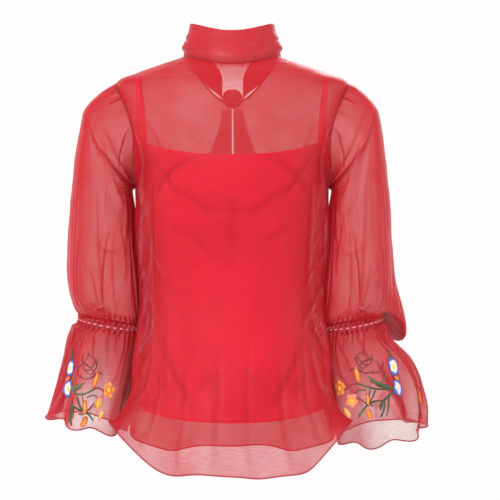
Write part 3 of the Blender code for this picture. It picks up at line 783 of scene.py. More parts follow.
# In mm from the panel's top left corner as it is seen
BACK_CREASES = [
    Crease(4, 250, 40, 322, 3.2, 2.0, 4, 0.72),
    Crease(16, 262, 50, 344, 2.6, -1.4, 5, 0.51),
    Crease(36, 308, 62, 382, 3.0, 1.8, -4, 0.72),
    Crease(60, 362, 46, 446, 3.0, 1.8, -5, 0.72),
    Crease(50, 376, 40, 442, 2.6, -1.5, 5, 0.59),
    Crease(44, 326, 54, 392, 2.6, 1.4, 4, 0.59),
    Crease(74, 330, 66, 466, 4.0, -1.4, 3, 0.51),
    Crease(36, 474, 60, 436, 2.8, 1.8, 4, 0.72),
    Crease(36, 502, 56, 462, 2.8, 1.7, -4, 0.68),
    Crease(40, 450, 62, 486, 2.6, -1.5, 4, 0.59),
    Crease(60, 478, 40, 522, 3.0, 1.7, 4, 0.59),
    Crease(64, 496, 46, 570, 3.6, 1.8, 5, 0.55),
    Crease(78, 510, 70, 602, 4.4, -1.2, 4, 0.34),
    Crease(92, 470, 98, 560, 5.0, 1.4, -4, 0.20),
    Crease(150, 20, 160, 76, 4.0, 1.0, 3, 0.20),
    Crease(112, 22, 60, 60, 4.0, 1.2, 4, 0.25),
    Crease(2, 330, 12, 430, 9.0, 1.4, 0, 0.00),
    Crease(54, 240, 57, 224, 1.5, 1.2, -3, 0.12),
    Crease(60, 240, 66, 226, 1.5, 1.2, 3, 0.12),
    Crease(120, 520, 112, 606, 6.0, 1.4, 4, 0.22),
    Crease(160, 500, 158, 606, 5.0, -1.2, 2, 0.18),
]
BACK_CREASES = both_halves(BACK_CREASES, BODY_CUT[0])
for seed, low_across, high_across in ((3, 34, 68), (4, 282, 316)):
    box = (low_across, 340, high_across, 505)
    BACK_CREASES += scattered(Scatter(seed, 26, box, (20, 48), (-45, 45), (2.2, 3.6), (0.6, 1.2), 0.6))
FRONT_CREASES = [
    Crease(30, 160, 90, 330, 8.0, 1.6, 8, 0.22),
    Crease(320, 160, 262, 330, 8.0, 1.6, -8, 0.22),
    Crease(60, 200, 78, 400, 7.0, -1.4, 6, 0.20),
    Crease(292, 196, 276, 404, 7.0, -1.4, -6, 0.20),
    Crease(120, 380, 104, 596, 8.0, 1.6, 4, 0.18),
    Crease(236, 384, 250, 598, 8.0, 1.6, -4, 0.18),
]
FRONT_CREASES += both_halves([Crease(2, 330, 12, 430, 9.0, 1.4, 0, 0.00)], BODY_CUT[0])
FRONT_CREASES += scattered(
    Scatter(5, 22, (6, 190, 344, 560), (40, 90), (-25, 25), (2.5, 5.0), (0.5, 1.1), 0.2)
)
print(len(BACK_CREASES), "creases on the back,", len(FRONT_CREASES), "on the front")

# %% [markdown]
# The cloth bunches in a band beside each side seam, and again where the shirt tails part. Each
# bunch is a soft bell of darkness, partly denser cloth and partly painted shade, at its own distance
# from the seam, which fades in and out on the way down.

# %% Back and front
SLIT_LENGTH = 90
SLIT_STEPS = 400
PANEL_COLUMNS = 132
PANEL_LINES = 150
ShadedBunch = namedtuple("ShadedBunch", "from_seam reach dark start fade_in end fade_out")
SIDE_SHADED_BUNCHES = [
    ShadedBunch(42, 26, 0.56, 0.40, 0.14, 0.88, 0.12),
    ShadedBunch(46, 16, 0.40, 0.86, 0.08, 1.20, 0.12),
]


def panel_form(at_back):
    return lambda across, down: panel_point(across, down * HEM_ROW, at_back)


def side_density_and_shade(across, down):
    """How much denser and darker the back is beside its side seams, from the underarm to the hem: bunched
    cloth and painted shade.
    """
    from_side = min(across, 1 - across) * BODY_CUT[0]
    dark = 0.0
    for shaded_bunch in SIDE_SHADED_BUNCHES:
        fade = smooth((down - shaded_bunch.start) / shaded_bunch.fade_in) * smooth((shaded_bunch.end - down) / shaded_bunch.fade_out)
        dark += shaded_bunch.dark * bell(from_side - shaded_bunch.from_seam, shaded_bunch.reach) * fade
    return dark


slit_share = next(
    step / SLIT_STEPS
    for step in range(SLIT_STEPS)
    if panel_point(0.5, step / SLIT_STEPS * HEM_ROW, False).z < BODY_ROWS[0].front_z - SLIT_LENGTH
)
back = cloth(
    "back_cloth", PANEL_COLUMNS, PANEL_LINES, panel_form(True), sheer, BODY_CUT,
    creases=BACK_CREASES, crumple=1.0, darkness=side_density_and_shade,
)
front = cloth(
    "front_cloth", PANEL_COLUMNS, PANEL_LINES, panel_form(False), sheer, BODY_CUT,
    creases=FRONT_CREASES, crumple=1.0, slit_down=slit_share,
)
stands_for(back, "back", "sheer_body")
stands_for(front, "front", "sheer_body")

# %% [markdown]
# ## Sleeves
#
# Each sleeve is a wide tube, set into the armhole and gathered in at the cuff, so that it balloons.
# Its cloth drags in a long diagonal from the sleeve head to the underarm and falls in upright folds,
# and the right sleeve hangs over its cuff. At the cuff it is shirred by the elastic: the gathers
# start evenly and run out at different heights.

# %% Sleeve tables
SleeveRow = namedtuple("SleeveRow", "outer_x outer_z inner_x inner_z centre_y depth dip round_in")
SLEEVES = {
    "left": [
        SleeveRow(166, -33, 139, -186, 0, 50, 0, 0.0),
        SleeveRow(184, -43, 147, -189, 1, 53, 0, 0.45),
        SleeveRow(201, -56, 146, -196, 2, 56, 0, 0.8),
        SleeveRow(214, -74, 144.5, -205, 3, 58, 1, 1.0),
        SleeveRow(221, -106, 143, -217, 4, 60, 2, 1.0),
        SleeveRow(228, -150, 141, -236, 5, 61, 3, 1.0),
        SleeveRow(233, -200, 138, -262, 6, 62, 5, 1.0),
        SleeveRow(237, -250, 135, -292, 7, 62, 6, 1.0),
        SleeveRow(238, -294, 132.5, -322, 7, 61, 7, 1.0),
        SleeveRow(235, -328, 131, -348, 6, 59, 7, 1.0),
        SleeveRow(229, -350, 131, -368, 4, 54, 5, 1.0),
        SleeveRow(224, -362, 131.5, -379, 2, 47, 4, 1.0),
    ],
    "right": [
        SleeveRow(-166, -33, -139, -186, 0, 50, 0, 0.0),
        SleeveRow(-184, -39, -147, -189, 1, 53, 0, 0.45),
        SleeveRow(-200, -54, -146, -196, 2, 56, 0, 0.8),
        SleeveRow(-211, -73, -144.5, -205, 3, 58, 1, 1.0),
        SleeveRow(-217, -106, -143, -217, 4, 60, 2, 1.0),
        SleeveRow(-223, -152, -141, -237, 5, 61, 3, 1.0),
        SleeveRow(-228, -204, -138, -264, 6, 62, 5, 1.0),
        SleeveRow(-231, -254, -135, -294, 7, 62, 6, 1.0),
        SleeveRow(-233, -298, -132.5, -323, 7, 62, 7, 1.0),
        SleeveRow(-231, -330, -131, -350, 5, 60, 7, 1.0),
        SleeveRow(-225, -352, -131, -369, 3, 55, 5, 1.0),
        SleeveRow(-220, -363, -131.5, -380, 1, 48, 4, 1.0),
    ],
}
ARMHOLE_GAP_TOP = 0.65
ARMHOLE_GAP_SIDE = 0.45
ARMHOLE_GAP_UNDER = 1.1
ARMHOLE_FALL = 0.45

Sag = namedtuple("Sag", "angle width row rows out drop")
SAGS = {
    "left": [Sag(300, 55, 9.6, 1.7, 5, 3), Sag(60, 55, 9.4, 1.8, 3, 2)],
    "right": [Sag(322, 44, 9.5, 0.9, 39, 76), Sag(70, 55, 9.5, 1.8, 3, 2)],
}
SleeveFold = namedtuple("SleeveFold", "angle row end_angle end_row width push")
SLEEVE_FOLDS = [
    SleeveFold(36, 2.6, 128, 5.6, 13, -4.0),
    SleeveFold(60, 2.4, 150, 5.0, 14, 3.0),
    SleeveFold(70, 6.2, 58, 10.2, 12, 3.5),
    SleeveFold(98, 5.8, 92, 10.2, 12, -3.5),
    SleeveFold(324, 2.6, 236, 5.8, 14, -4.0),
    SleeveFold(296, 6.0, 306, 10.2, 13, 3.5),
    SleeveFold(262, 6.4, 266, 10.2, 12, -3.0),
    SleeveFold(20, 6.6, 16, 10.0, 12, -2.5),
]
Band = namedtuple("Band", "outer_x outer_z inner_x inner_z centre_y depth dip")
BANDS = {
    "left": Band(222, -372, 131, -388, 0, 42, 4),
    "right": Band(-217, -373, -131, -388, -1, 42, 4),
}
BAND_HEIGHT = 5
CUFF_SEAM = 0.5
STRAIGHT_AT_BAND = 4
print("sleeves:", ", ".join(f"{side} {len(rows)} rings" for side, rows in SLEEVES.items()))

# %% [markdown]
# A sleeve's ring is a slanted ellipse between an outer and an inner point, deeper to the back and
# front by its depth. The band below it is a ring of the same kind.

# %% Rings of sleeves, bands and ruffles
def tube_ring(row, angle):
    """A point on a sleeve's or ruffle's ring: 0 outside, 90 at the back, 180 inside."""
    outer = Vector((row.outer_x, row.centre_y, row.outer_z))
    inner = Vector((row.inner_x, row.centre_y, row.inner_z))
    back_way = Vector((0, math.cos(math.radians(row.dip)), -math.sin(math.radians(row.dip)))) * row.depth
    back_way.x = -math.copysign(getattr(row, "skew", 0), row.outer_x)
    cos = math.cos(math.radians(angle))
    sin = math.sin(math.radians(angle))
    return (outer + inner) / 2 + (outer - inner) / 2 * cos + back_way * sin


def ring_outward(row, angle):
    middle = (tube_ring(row, 0) + tube_ring(row, 180)) / 2
    return (tube_ring(row, angle) - middle).normalized()


def band_down(band):
    """The direction in which the tube runs on below the band."""
    across = tube_ring(band, 0) - tube_ring(band, 180)
    back_way = tube_ring(band, 90) - tube_ring(band, 270)
    down = across.cross(back_way).normalized()
    return down if down.z < 0 else -down


def band_point(side, angle, along):
    band = BANDS[side]
    return tube_ring(band, angle) + band_down(band) * along


# %% [markdown]
# The gathers are all made by one elastic thread, so they are evenly spaced at the band. Away from it
# each one keeps its own length and depth, drawn once from a seeded list so that every run is alike.

# %% Gathers and sleeve form
GATHERS = 36
GATHER_DEPTH = 1.6
# How dark the hollows of the gathers are: denser cloth and painted shade
SLEEVE_GATHER_DARK = 0.75
GatherSet = namedtuple("GatherSet", "reach depth")
draw = random.Random(11)
GATHER_SETS = {
    name: GatherSet(
        [draw.uniform(0.9, 3.0) for _ in range(GATHERS)], [draw.uniform(0.7, 1.4) for _ in range(GATHERS)]
    )
    for name in ("sleeve_left", "sleeve_right", "ruffle_left", "ruffle_right")
}
print(len(GATHER_SETS), "sets of", GATHERS, "gathers")


def gather_at(angle, rows_away, gathers):
    """Height and darkness of the gathers at an angle, some rows away from the band."""
    turn = (angle % 360) / 360 * GATHERS
    low = int(turn) % GATHERS
    share = smooth(turn - int(turn))
    reach = mix(gathers.reach[low], gathers.reach[(low + 1) % GATHERS], share)
    depth = mix(gathers.depth[low], gathers.depth[(low + 1) % GATHERS], share)
    left = max(0.0, 1 - rows_away / reach)
    wave = math.cos(math.tau * turn)
    strength = mix(1.0, depth, min(rows_away, 1.0)) * left
    # The darkness lies in the hollows of the gathers: denser cloth and painted shade.
    return GATHER_DEPTH * wave * strength, left * (0.5 - 0.5 * wave)


def sleeve_form(side):
    table = SLEEVES[side]
    band = BANDS[side]
    last = len(table) - 1
    gathers = GATHER_SETS["sleeve_" + side]
    down_band = band_down(band)

    def at_band(angle, index):
        along = -CUFF_SEAM - STRAIGHT_AT_BAND * (last + 2 - index)
        return tube_ring(band, angle) + down_band * along

    def on_sleeve(angle, index):
        row = row_at(table, index)
        point = tube_ring(row, angle)
        if row.round_in < 1:
            start = armhole_point(side, angle)
            fall = -ARMHOLE_FALL * max(0.0, math.cos(math.radians(angle)))
            reach = Vector((math.copysign(1, row.outer_x), 0, fall)).normalized()
            under = (1 - math.cos(math.radians(angle))) / 2
            gap = ARMHOLE_GAP_TOP + ARMHOLE_GAP_SIDE * abs(math.sin(math.radians(angle)))
            start += reach * (gap + ARMHOLE_GAP_UNDER * under**3)
            point = start.lerp(point, row.round_in)
        out = ring_outward(row, angle)
        for sag in SAGS[side]:
            share = bell(turn_between(angle, sag.angle), sag.width) * bell(index - sag.row, sag.rows)
            point += out * sag.out * share
            point.z -= sag.drop * share
        for fold in SLEEVE_FOLDS:
            share = (index - fold.row) / (fold.end_row - fold.row)
            if 0 < share < 1:
                middle = fold.angle + turn_between(fold.end_angle, fold.angle) * share
                height = math.sin(math.pi * share) * bell(turn_between(angle, middle), fold.width)
                point += out * fold.push * height
        return point

    def form(across, down):
        angle = 360 * across
        index = down * (last + 2)
        if index <= last:
            point = on_sleeve(angle, index)
        elif index < last + 1:
            point = on_sleeve(angle, last).lerp(at_band(angle, last + 1), index - last)
        else:
            point = at_band(angle, index)
        height, _ = gather_at(angle, max(0.0, last + 1 - index), gathers)
        return point + ring_outward(band, angle) * height

    def darkness(across, down):
        rows_away = max(0.0, last + 1 - down * (last + 2))
        return SLEEVE_GATHER_DARK * gather_at(360 * across, rows_away, gathers)[1]

    return form, darkness


# %% [markdown]
# The creases of a sleeve are drawn on its cut as it lies opened along its outer side: the back is a
# quarter of the way across, and the inner side, next to the body of the shirt, is half way.

# %% Sleeves
SLEEVE_CUT = (372, 330)
SLEEVE_COLUMNS = 216
SLEEVE_LINES = 104
SLEEVE_CREASES = [
    Crease(40, 74, 144, 55, 4.0, 3.4, -15, 0.85),
    Crease(92, 86, 188, 20, 7.0, 3.6, -9, 1.00),
    Crease(132, 66, 186, 14, 3.6, 3.0, -5, 0.90),
    Crease(96, 60, 178, 22, 2.6, 2.0, -6, 0.60),
    Crease(186, 40, 186, 170, 15.0, 3.0, 0, 0.00),
    Crease(88, 6, 112, 44, 3.0, 2.0, -4, 0.80),
    Crease(100, 20, 128, 66, 2.8, -1.8, -3, 0.70),
    Crease(108, 152, 92, 244, 2.6, 2.6, -4, 0.85),
    Crease(76, 190, 86, 258, 2.6, -1.8, 4, 0.55),
    Crease(74, 232, 104, 246, 2.8, 2.6, -6, 0.85),
    Crease(76, 254, 106, 240, 2.6, 2.6, 6, 0.85),
    Crease(82, 262, 100, 262, 2.4, 2.0, 4, 0.70),
    Crease(96, 256, 98, 300, 2.4, -2.0, 3, 0.60),
    Crease(144, 78, 143, 232, 2.8, 2.0, 4, 0.75),
    Crease(70, 156, 134, 162, 3.6, 1.4, -16, 0.30),
    Crease(158, 90, 160, 276, 3.4, -1.8, -5, 0.55),
    Crease(172, 110, 164, 284, 3.0, 1.8, 5, 0.55),
    Crease(38, 104, 40, 256, 3.4, 1.8, 6, 0.35),
    Crease(12, 130, 6, 284, 3.0, -1.6, -5, 0.45),
    Crease(56, 170, 60, 280, 3.2, 1.4, -5, 0.35),
    Crease(8, 6, 14, 40, 2.6, 1.8, 2, 0.75),
    Crease(20, 4, 30, 40, 2.4, 1.6, 2, 0.70),
    Crease(34, 4, 46, 44, 2.6, 1.6, 2, 0.65),
    Crease(54, 6, 66, 36, 2.4, -1.4, 2, 0.50),
    Crease(362, 6, 352, 44, 2.6, 1.6, -2, 0.65),
    Crease(346, 6, 334, 40, 2.6, 1.4, -2, 0.55),
    Crease(330, 60, 206, 50, 4.0, 2.6, 8, 0.60),
    Crease(300, 120, 292, 280, 3.6, 2.0, -5, 0.45),
    Crease(262, 140, 268, 284, 3.6, -1.8, 5, 0.45),
    Crease(236, 120, 222, 260, 3.6, 1.6, -5, 0.40),
]
SLEEVE_CREASES += scattered(
    Scatter(21, 20, (0, 70, 372, 250), (30, 70), (-30, 30), (2.4, 4.0), (0.5, 1.1), 0.2)
)
SLEEVE_CREASES += scattered(
    Scatter(22, 14, (130, 110, 182, 280), (24, 60), (-20, 20), (1.8, 2.8), (0.9, 1.6), 0.5)
)

for side in ("left", "right"):
    form, darkness = sleeve_form(side)
    sleeve = cloth(
        "sleeve_cloth_" + side, SLEEVE_COLUMNS, SLEEVE_LINES, form, sheer, SLEEVE_CUT,
        creases=SLEEVE_CREASES, crumple=0.9, darkness=darkness, closed=True,
    )
    stands_for(sleeve, "sleeve_" + side, "sheer_sleeve")

# %% [markdown]
# ## Cuff elastic
#
# A narrow elastic is sewn round each cuff. It shows as a thin shirred cord, and its shiny polyester
# stitches stand on it as a row of dashes whose pale pink is a painted highlight.

# %% Elastic and its stitches
STITCHES = 30
STITCH_SIZE = (5.0, 1.8, 1.5)  # along the band, up it and out of it, in mm
STITCH_OUT = 0.9
RIBS = 108
RIB_DEPTH = 0.35
ELASTIC_LENGTH = 272
ELASTIC_LINES = 5
ELASTIC_THICKNESS = 1.2


def glossy_thread(name, code):
    made, tree, shader = new_material(name, 0.22, shine=0.6)
    place = add(tree, "ShaderNodeTexCoord").outputs["Object"]
    twist = add(tree, "ShaderNodeTexNoise", {"Vector": place, "Scale": 900.0, "Detail": 1.0}).outputs["Fac"]
    colour = add(
        tree, "ShaderNodeMix", {0: twist, MIX_A: hex_colour(code), MIX_B: hex_colour("#E86078")},
        data_type="RGBA",
    ).outputs[MIX_RESULT]
    tree.links.new(colour, shader.inputs["Base Color"])
    return made


elastic_red = seam_cloth("shirred elastic", "#AC2030", "#84101C")
# The pale pink of the stitches is a painted highlight on the thread
stitch_pink_highlight = glossy_thread("polyester thread", "#FF9CAE")


def elastic_form(side):
    band = BANDS[side]

    def form(across, down):
        angle = 360 * across
        rib = RIB_DEPTH * math.cos(math.radians(angle * RIBS))
        return band_point(side, angle, BAND_HEIGHT * down) + ring_outward(band, angle) * rib

    return form


for side in ("left", "right"):
    band = BANDS[side]
    elastic = cloth(
        "elastic_" + side, 4 * RIBS, ELASTIC_LINES, elastic_form(side), elastic_red,
        (ELASTIC_LENGTH, BAND_HEIGHT), thickness=ELASTIC_THICKNESS, closed=True,
    )
    stands_for(elastic, "cuff_band_" + side, "elastic")
    bm = bmesh.new()
    for stitch in range(STITCHES):
        angle = 360 * (stitch + 0.5) / STITCHES
        along = (band_point(side, angle + 1, 0) - band_point(side, angle - 1, 0)).normalized()
        out = ring_outward(band, angle)
        up = out.cross(along).normalized()
        centre = (band_point(side, angle, BAND_HEIGHT / 2) + out * STITCH_OUT) * MM
        turned = Matrix((along, up, out)).transposed().to_4x4()
        sized = Matrix.Diagonal((*[size / 2 * MM for size in STITCH_SIZE], 1))
        bmesh.ops.create_uvsphere(
            bm, u_segments=12, v_segments=8, radius=1, matrix=Matrix.Translation(centre) @ turned @ sized
        )
    bmesh.ops.recalc_face_normals(bm, faces=bm.faces)
    trim("elastic_stitches_" + side, bm, stitch_pink_highlight)

# %% [markdown]
# ## Bell ruffles
#
# The ruffle is a flared tube below the elastic, and the right one is a little longer and wider. Its
# six deep waves come from the flare, and the gathers run out into them. Some of its folds differ
# from side to side. Near the hem the organza is drawn out flat in a few places, where it is clearer
# than elsewhere: they lower the value of fold.

# %% Ruffle tables
RuffleRow = namedtuple("RuffleRow", "outer_x outer_z inner_x inner_z centre_y depth dip skew wave")
RUFFLES = {
    "left": [
        RuffleRow(231, -384, 132, -401, -4, 47, 4, 0, 0.05),
        RuffleRow(238, -402, 133.5, -418, -9, 51, 5, 0, 0.2),
        RuffleRow(243, -430, 138, -444, -17, 54, 6, 0, 0.42),
        RuffleRow(249, -459, 144, -475, -25, 58, 6, 0, 0.62),
        RuffleRow(256, -488, 151, -508, -34, 61, 6, 0, 0.82),
        RuffleRow(264, -517, 159, -540, -43, 64, 5, 0, 1.0),
    ],
    "right": [
        RuffleRow(-225, -385, -132, -401, -5, 47, 3, 2, 0.05),
        RuffleRow(-232, -405, -133.5, -418, -11, 51, 2, 6, 0.2),
        RuffleRow(-257, -431, -138, -446, -20, 56, -3, 14, 0.42),
        RuffleRow(-273, -466, -144, -482, -30, 61, -8, 20, 0.62),
        RuffleRow(-281, -501, -150, -520, -40, 66, -14, 20, 0.82),
        RuffleRow(-281, -535, -159, -556, -50, 71, -19, 16, 1.0),
    ],
}
RUFFLE_WAVES = 6
WAVE_DEPTH = 9
WAVE_BY_BODY = 0.5
WAVE_DROP = 3
WAVE_TURN = {"left": 20, "right": 50}
RUFFLE_CUT = (400, 165)
RUFFLE_CREASES = [
    Crease(58, 10, 44, 112, 2.8, 2.2, 5, 0.70),
    Crease(84, 10, 92, 100, 2.6, 2.2, -4, 0.70),
    Crease(112, 10, 124, 84, 2.6, -2.0, 4, 0.60),
    Crease(136, 12, 130, 112, 3.0, 2.0, 5, 0.60),
    Crease(160, 10, 170, 120, 3.0, 1.8, 5, 0.55),
    Crease(30, 14, 14, 140, 3.0, 2.0, 5, 0.65),
    Crease(30, 30, 34, 92, 3.0, 2.4, 3, 0.50),
    Crease(106, 12, 104, 74, 2.8, 2.0, 2, 0.60),
    Crease(60, 148, 130, 128, 2.6, 1.6, -4, 0.35),
    Crease(60, 120, 96, 162, 3.0, 1.8, 6, 0.55),
    Crease(140, 96, 110, 160, 3.4, 2.0, -6, 0.55),
    Crease(250, 14, 262, 130, 3.0, 1.8, 4, 0.50),
    Crease(300, 14, 290, 120, 3.0, -1.8, 4, 0.50),
    Crease(340, 20, 352, 140, 3.0, 1.8, -4, 0.50),
    Crease(376, 14, 386, 150, 3.0, 1.8, 5, 0.60),
]
RUFFLE_CREASES += scattered(
    Scatter(31, 18, (0, 16, 400, 120), (24, 56), (-28, 28), (1.8, 2.8), (0.7, 1.3), 0.4)
)
RUFFLE_FOLDS = {
    "left": [
        Crease(46, 96, 24, 168, 8.0, 2.4, 3, 0.75),
        Crease(34, 84, 12, 160, 4.0, -2.0, 5, 0.60),
        Crease(58, 104, 44, 160, 3.0, 1.8, 4, 0.45),
    ],
    "right": [
        Crease(76, 92, 40, 172, 9.0, 2.4, 5, 0.85),
        Crease(58, 96, 36, 158, 4.0, -2.0, 5, 0.60),
        Crease(30, 60, 34, 120, 3.0, 1.8, -4, 0.45),
    ],
}
Thin = namedtuple("Thin", "across down width length share")
THIN_PLACES = {
    "left": [Thin(102, 144, 32, 30, 0.62), Thin(318, 148, 60, 44, 0.56)],
    "right": [Thin(110, 148, 32, 30, 0.62), Thin(318, 148, 60, 44, 0.56), Thin(12, 126, 20, 44, 0.55)],
}
print("ruffles:", len(RUFFLE_CREASES), "creases each,", RUFFLE_WAVES, "waves")

# %% [markdown]
# The form starts on the band's own ring, so that the ruffle hangs straight for a few millimetres,
# and then opens out into the bell.

# %% Ruffles
RUFFLE_COLUMNS = 216
RUFFLE_LINES = 72
# How dark the hollows of the ruffle's gathers are: denser cloth and painted shade
RUFFLE_GATHER_DARK = 0.7
RUFFLE_TOP_DARK = 0.16
RUFFLE_TOP_END = 0.6
RUFFLE_TOP_FADE = 0.4


def ruffle_form(side):
    table = RUFFLES[side]
    band = BANDS[side]
    gathers = GATHER_SETS["ruffle_" + side]
    down_band = band_down(band)

    def at_band(angle, index):
        return tube_ring(band, angle) + down_band * (BAND_HEIGHT + CUFF_SEAM + STRAIGHT_AT_BAND * index)

    def in_bell(angle, index):
        row = row_at(table, index - 2)
        out = ring_outward(row, angle)
        wave = math.sin(math.radians(RUFFLE_WAVES * angle + WAVE_TURN[side]))
        away = smooth((1 + math.cos(math.radians(angle))) / 1.2)
        point = tube_ring(row, angle) + out * WAVE_DEPTH * row.wave * wave * mix(WAVE_BY_BODY, 1, away)
        point.z -= WAVE_DROP * row.wave * wave
        return point

    def form(across, down):
        angle = 360 * across
        index = down * (len(table) + 1)
        if index <= 1:
            point = at_band(angle, index)
        elif index < 2:
            point = at_band(angle, 1).lerp(in_bell(angle, 2), index - 1)
        else:
            point = in_bell(angle, index)
        height, _ = gather_at(angle, max(0.0, index - 1), gathers)
        return point + ring_outward(band, angle) * height

    def darkness(across, down):
        rows_away = max(0.0, down * (len(table) + 1) - 1)
        dark = RUFFLE_GATHER_DARK * gather_at(360 * across, rows_away, gathers)[1]
        for thin in THIN_PLACES[side]:
            aside = turned_by(across * RUFFLE_CUT[0] - thin.across, RUFFLE_CUT[0])
            below = down * RUFFLE_CUT[1] - thin.down
            dark -= thin.share * bell(aside, thin.width) * bell(below, thin.length)
        return dark + RUFFLE_TOP_DARK * smooth((RUFFLE_TOP_END - down) / RUFFLE_TOP_FADE)

    return form, darkness


ruffles = {}
for side in ("left", "right"):
    form, darkness = ruffle_form(side)
    ruffles[side] = cloth(
        "ruffle_cloth_" + side, RUFFLE_COLUMNS, RUFFLE_LINES, form, sheer, RUFFLE_CUT,
        creases=RUFFLE_CREASES + RUFFLE_FOLDS[side], crumple=0.9, darkness=darkness, closed=True,
    )

# %% [markdown]
# ## Embroidery
#
# A spray of flowers and buds is worked on each ruffle in satin stitch, at its back and outer side,
# and the right ruffle has a small sprig more at its front. Each petal, bud and leaf is a patch of
# close threads that stands up in the middle, and a stem is a long narrow one. All of them are laid
# out on the flat cut, in millimetres from its top left corner.

# %% Embroidery layout
THREADS = {
    "blue": "#2456C8",
    "white": "#F6F0EA",
    "yellow": "#F8D440",
    "gold": "#F6A83A",
    "orange": "#F0702C",
    "pink": "#F88E80",
    "brown": "#6E2218",
    "wine": "#8E2A34",
    "leaf": "#33421E",
    "moss": "#56643A",
}
# A patch runs from one place to another. point is 0 for a band, 0.5 for a round patch, 1 for a leaf.
Patch = namedtuple("Patch", "across down end_across end_down bow width point base tip layer", defaults=(0,))
STEMS = [
    Patch(50, 127, 102, 119, 3, 1.8, 0, "leaf", "moss"),
    Patch(50, 129, 68, 140, -1, 2.4, 0, "leaf", "leaf"),
    Patch(68, 140, 78, 159, 2, 2.0, 0, "leaf", "leaf"),
    Patch(68, 140, 111, 155, -4, 2.0, 0, "leaf", "moss"),
    Patch(62, 136, 70, 158, 1, 1.7, 0, "leaf", "moss"),
    Patch(84, 146, 104, 136, 2, 1.6, 0, "moss", "wine"),
    Patch(82, 123, 90, 138, 1, 1.5, 0, "moss", "wine"),
    Patch(102, 119, 124, 126, -2, 1.4, 0, "wine", "wine"),
    Patch(54, 127, 82, 112, 2, 6.0, 1, "leaf", "moss"),
    Patch(38, 97, 37, 82, 1, 6.0, 1, "leaf", "leaf"),
    Patch(70, 141, 76, 152, -1, 4.0, 1, "leaf", "moss"),
    Patch(100, 114, 72, 92, 7, 1.3, 0, "wine", "brown"),
    Patch(86, 102, 68, 84, -4, 1.2, 0, "wine", "brown"),
    Patch(88, 104, 96, 86, 4, 1.2, 0, "wine", "brown"),
    Patch(76, 108, 58, 96, -5, 1.2, 0, "wine", "brown"),
    Patch(92, 108, 110, 104, -4, 1.2, 0, "wine", "brown"),
    Patch(68, 92, 80, 78, 4, 1.1, 0, "wine", "brown"),
    Patch(64, 100, 84, 94, -5, 1.1, 0, "wine", "brown"),
    Patch(76, 98, 92, 88, 5, 1.1, 0, "wine", "brown"),
    Patch(80, 82, 96, 94, -4, 1.1, 0, "wine", "brown"),
    Patch(72, 106, 100, 100, 5, 1.1, 0, "wine", "brown"),
    Patch(58, 110, 80, 118, 5, 1.2, 0, "moss", "wine"),
    Patch(90, 128, 112, 132, -3, 1.2, 0, "moss", "wine"),
    Patch(76, 128, 100, 148, 3, 1.4, 0, "leaf", "moss"),
]
Flower = namedtuple("Flower", "across down size turn petals outer inner heart")
FLOWERS = [
    Flower(41, 104, 21, 10, 5, "blue", "white", "yellow"),
    Flower(44, 128, 23, 40, 5, "blue", "white", "yellow"),
    Flower(126, 119, 17, 0, 5, "gold", "orange", "yellow"),
    Flower(113, 136, 16, 30, 5, "pink", "gold", "yellow"),
]
Bud = namedtuple("Bud", "across down length width turn outer inner")
BUDS = [
    Bud(98, 118, 18, 8, 6, "orange", "gold"),
    Bud(91, 146, 15, 7, -8, "orange", "gold"),
    Bud(120, 152, 12, 7, 25, "pink", "yellow"),
    Bud(94, 160, 11, 10, 12, "orange", "gold"),
    Bud(34, 119, 13, 9, 70, "brown", "orange"),
]
# The sprig at the front of the right ruffle, seen from inside past its edge
SPRIG = [
    Patch(352, 104, 356, 122, 0, 6.5, 0.5, "orange", "gold"),
    Patch(380, 124, 384, 142, 0, 6.5, 0.5, "orange", "gold"),
    Patch(384, 128, 381, 139, 0, 3.0, 0.5, "yellow", "yellow", 1),
    Patch(356, 124, 366, 152, 4, 1.8, 0, "wine", "leaf"),
    Patch(366, 152, 382, 140, 3, 1.5, 0, "leaf", "wine"),
    Patch(362, 118, 378, 108, -4, 1.3, 0, "wine", "brown"),
    Patch(364, 130, 346, 138, 5, 1.3, 0, "wine", "brown"),
    Patch(370, 146, 386, 154, -4, 1.3, 0, "wine", "brown"),
    Patch(360, 140, 344, 150, -4, 1.3, 0, "wine", "brown"),
    Patch(372, 118, 366, 136, 5, 1.2, 0, "wine", "brown"),
]
print(len(STEMS), "stems and leaves,", len(FLOWERS), "flowers,", len(BUDS), "buds")

# %% [markdown]
# A flower is a ring of petals that run out from its heart and change colour on the way. A bud is
# one patch with a smaller one of its inner colour on it.

# %% Flowers and buds as patches
PETAL_WIDTH = 2.3
HEART_SHARE = 0.14
BUD_LAYERS = ((0, 1.0, 1.0, "outer"), (1, 0.68, 0.5, "inner"))


def flower_patches(flower):
    made = []
    for petal in range(flower.petals):
        turn = math.radians(flower.turn + 360 * petal / flower.petals)
        reach = flower.size / 2
        made.append(
            Patch(
                flower.across, flower.down, flower.across + reach * math.sin(turn),
                flower.down - reach * math.cos(turn), 0, flower.size * PETAL_WIDTH / flower.petals, 0.5,
                flower.inner, flower.outer,
            )
        )
    heart = flower.size * HEART_SHARE
    made.append(
        Patch(
            flower.across, flower.down + heart, flower.across, flower.down - heart, 0, 2 * heart, 0.5,
            flower.heart, flower.heart, 1,
        )
    )
    return made


def bud_patches(bud):
    turn = math.radians(bud.turn)
    along, aside = math.sin(turn), math.cos(turn)
    made = []
    for layer, length, width, part in BUD_LAYERS:
        thread = getattr(bud, part)
        start = bud.length * (1 - length) / 2
        end = start + bud.length * length
        made.append(
            Patch(
                bud.across + along * start, bud.down - aside * start, bud.across + along * end,
                bud.down - aside * end, 0, bud.width * width, 0.5, thread, thread, layer,
            )
        )
    return made


SPRAY = STEMS + [patch for flower in FLOWERS for patch in flower_patches(flower)]
SPRAY += [patch for bud in BUDS for patch in bud_patches(bud)]
SPRAY_SHIFT = {"left": 0, "right": 10}
print(len(SPRAY), "patches of satin stitch in a spray")

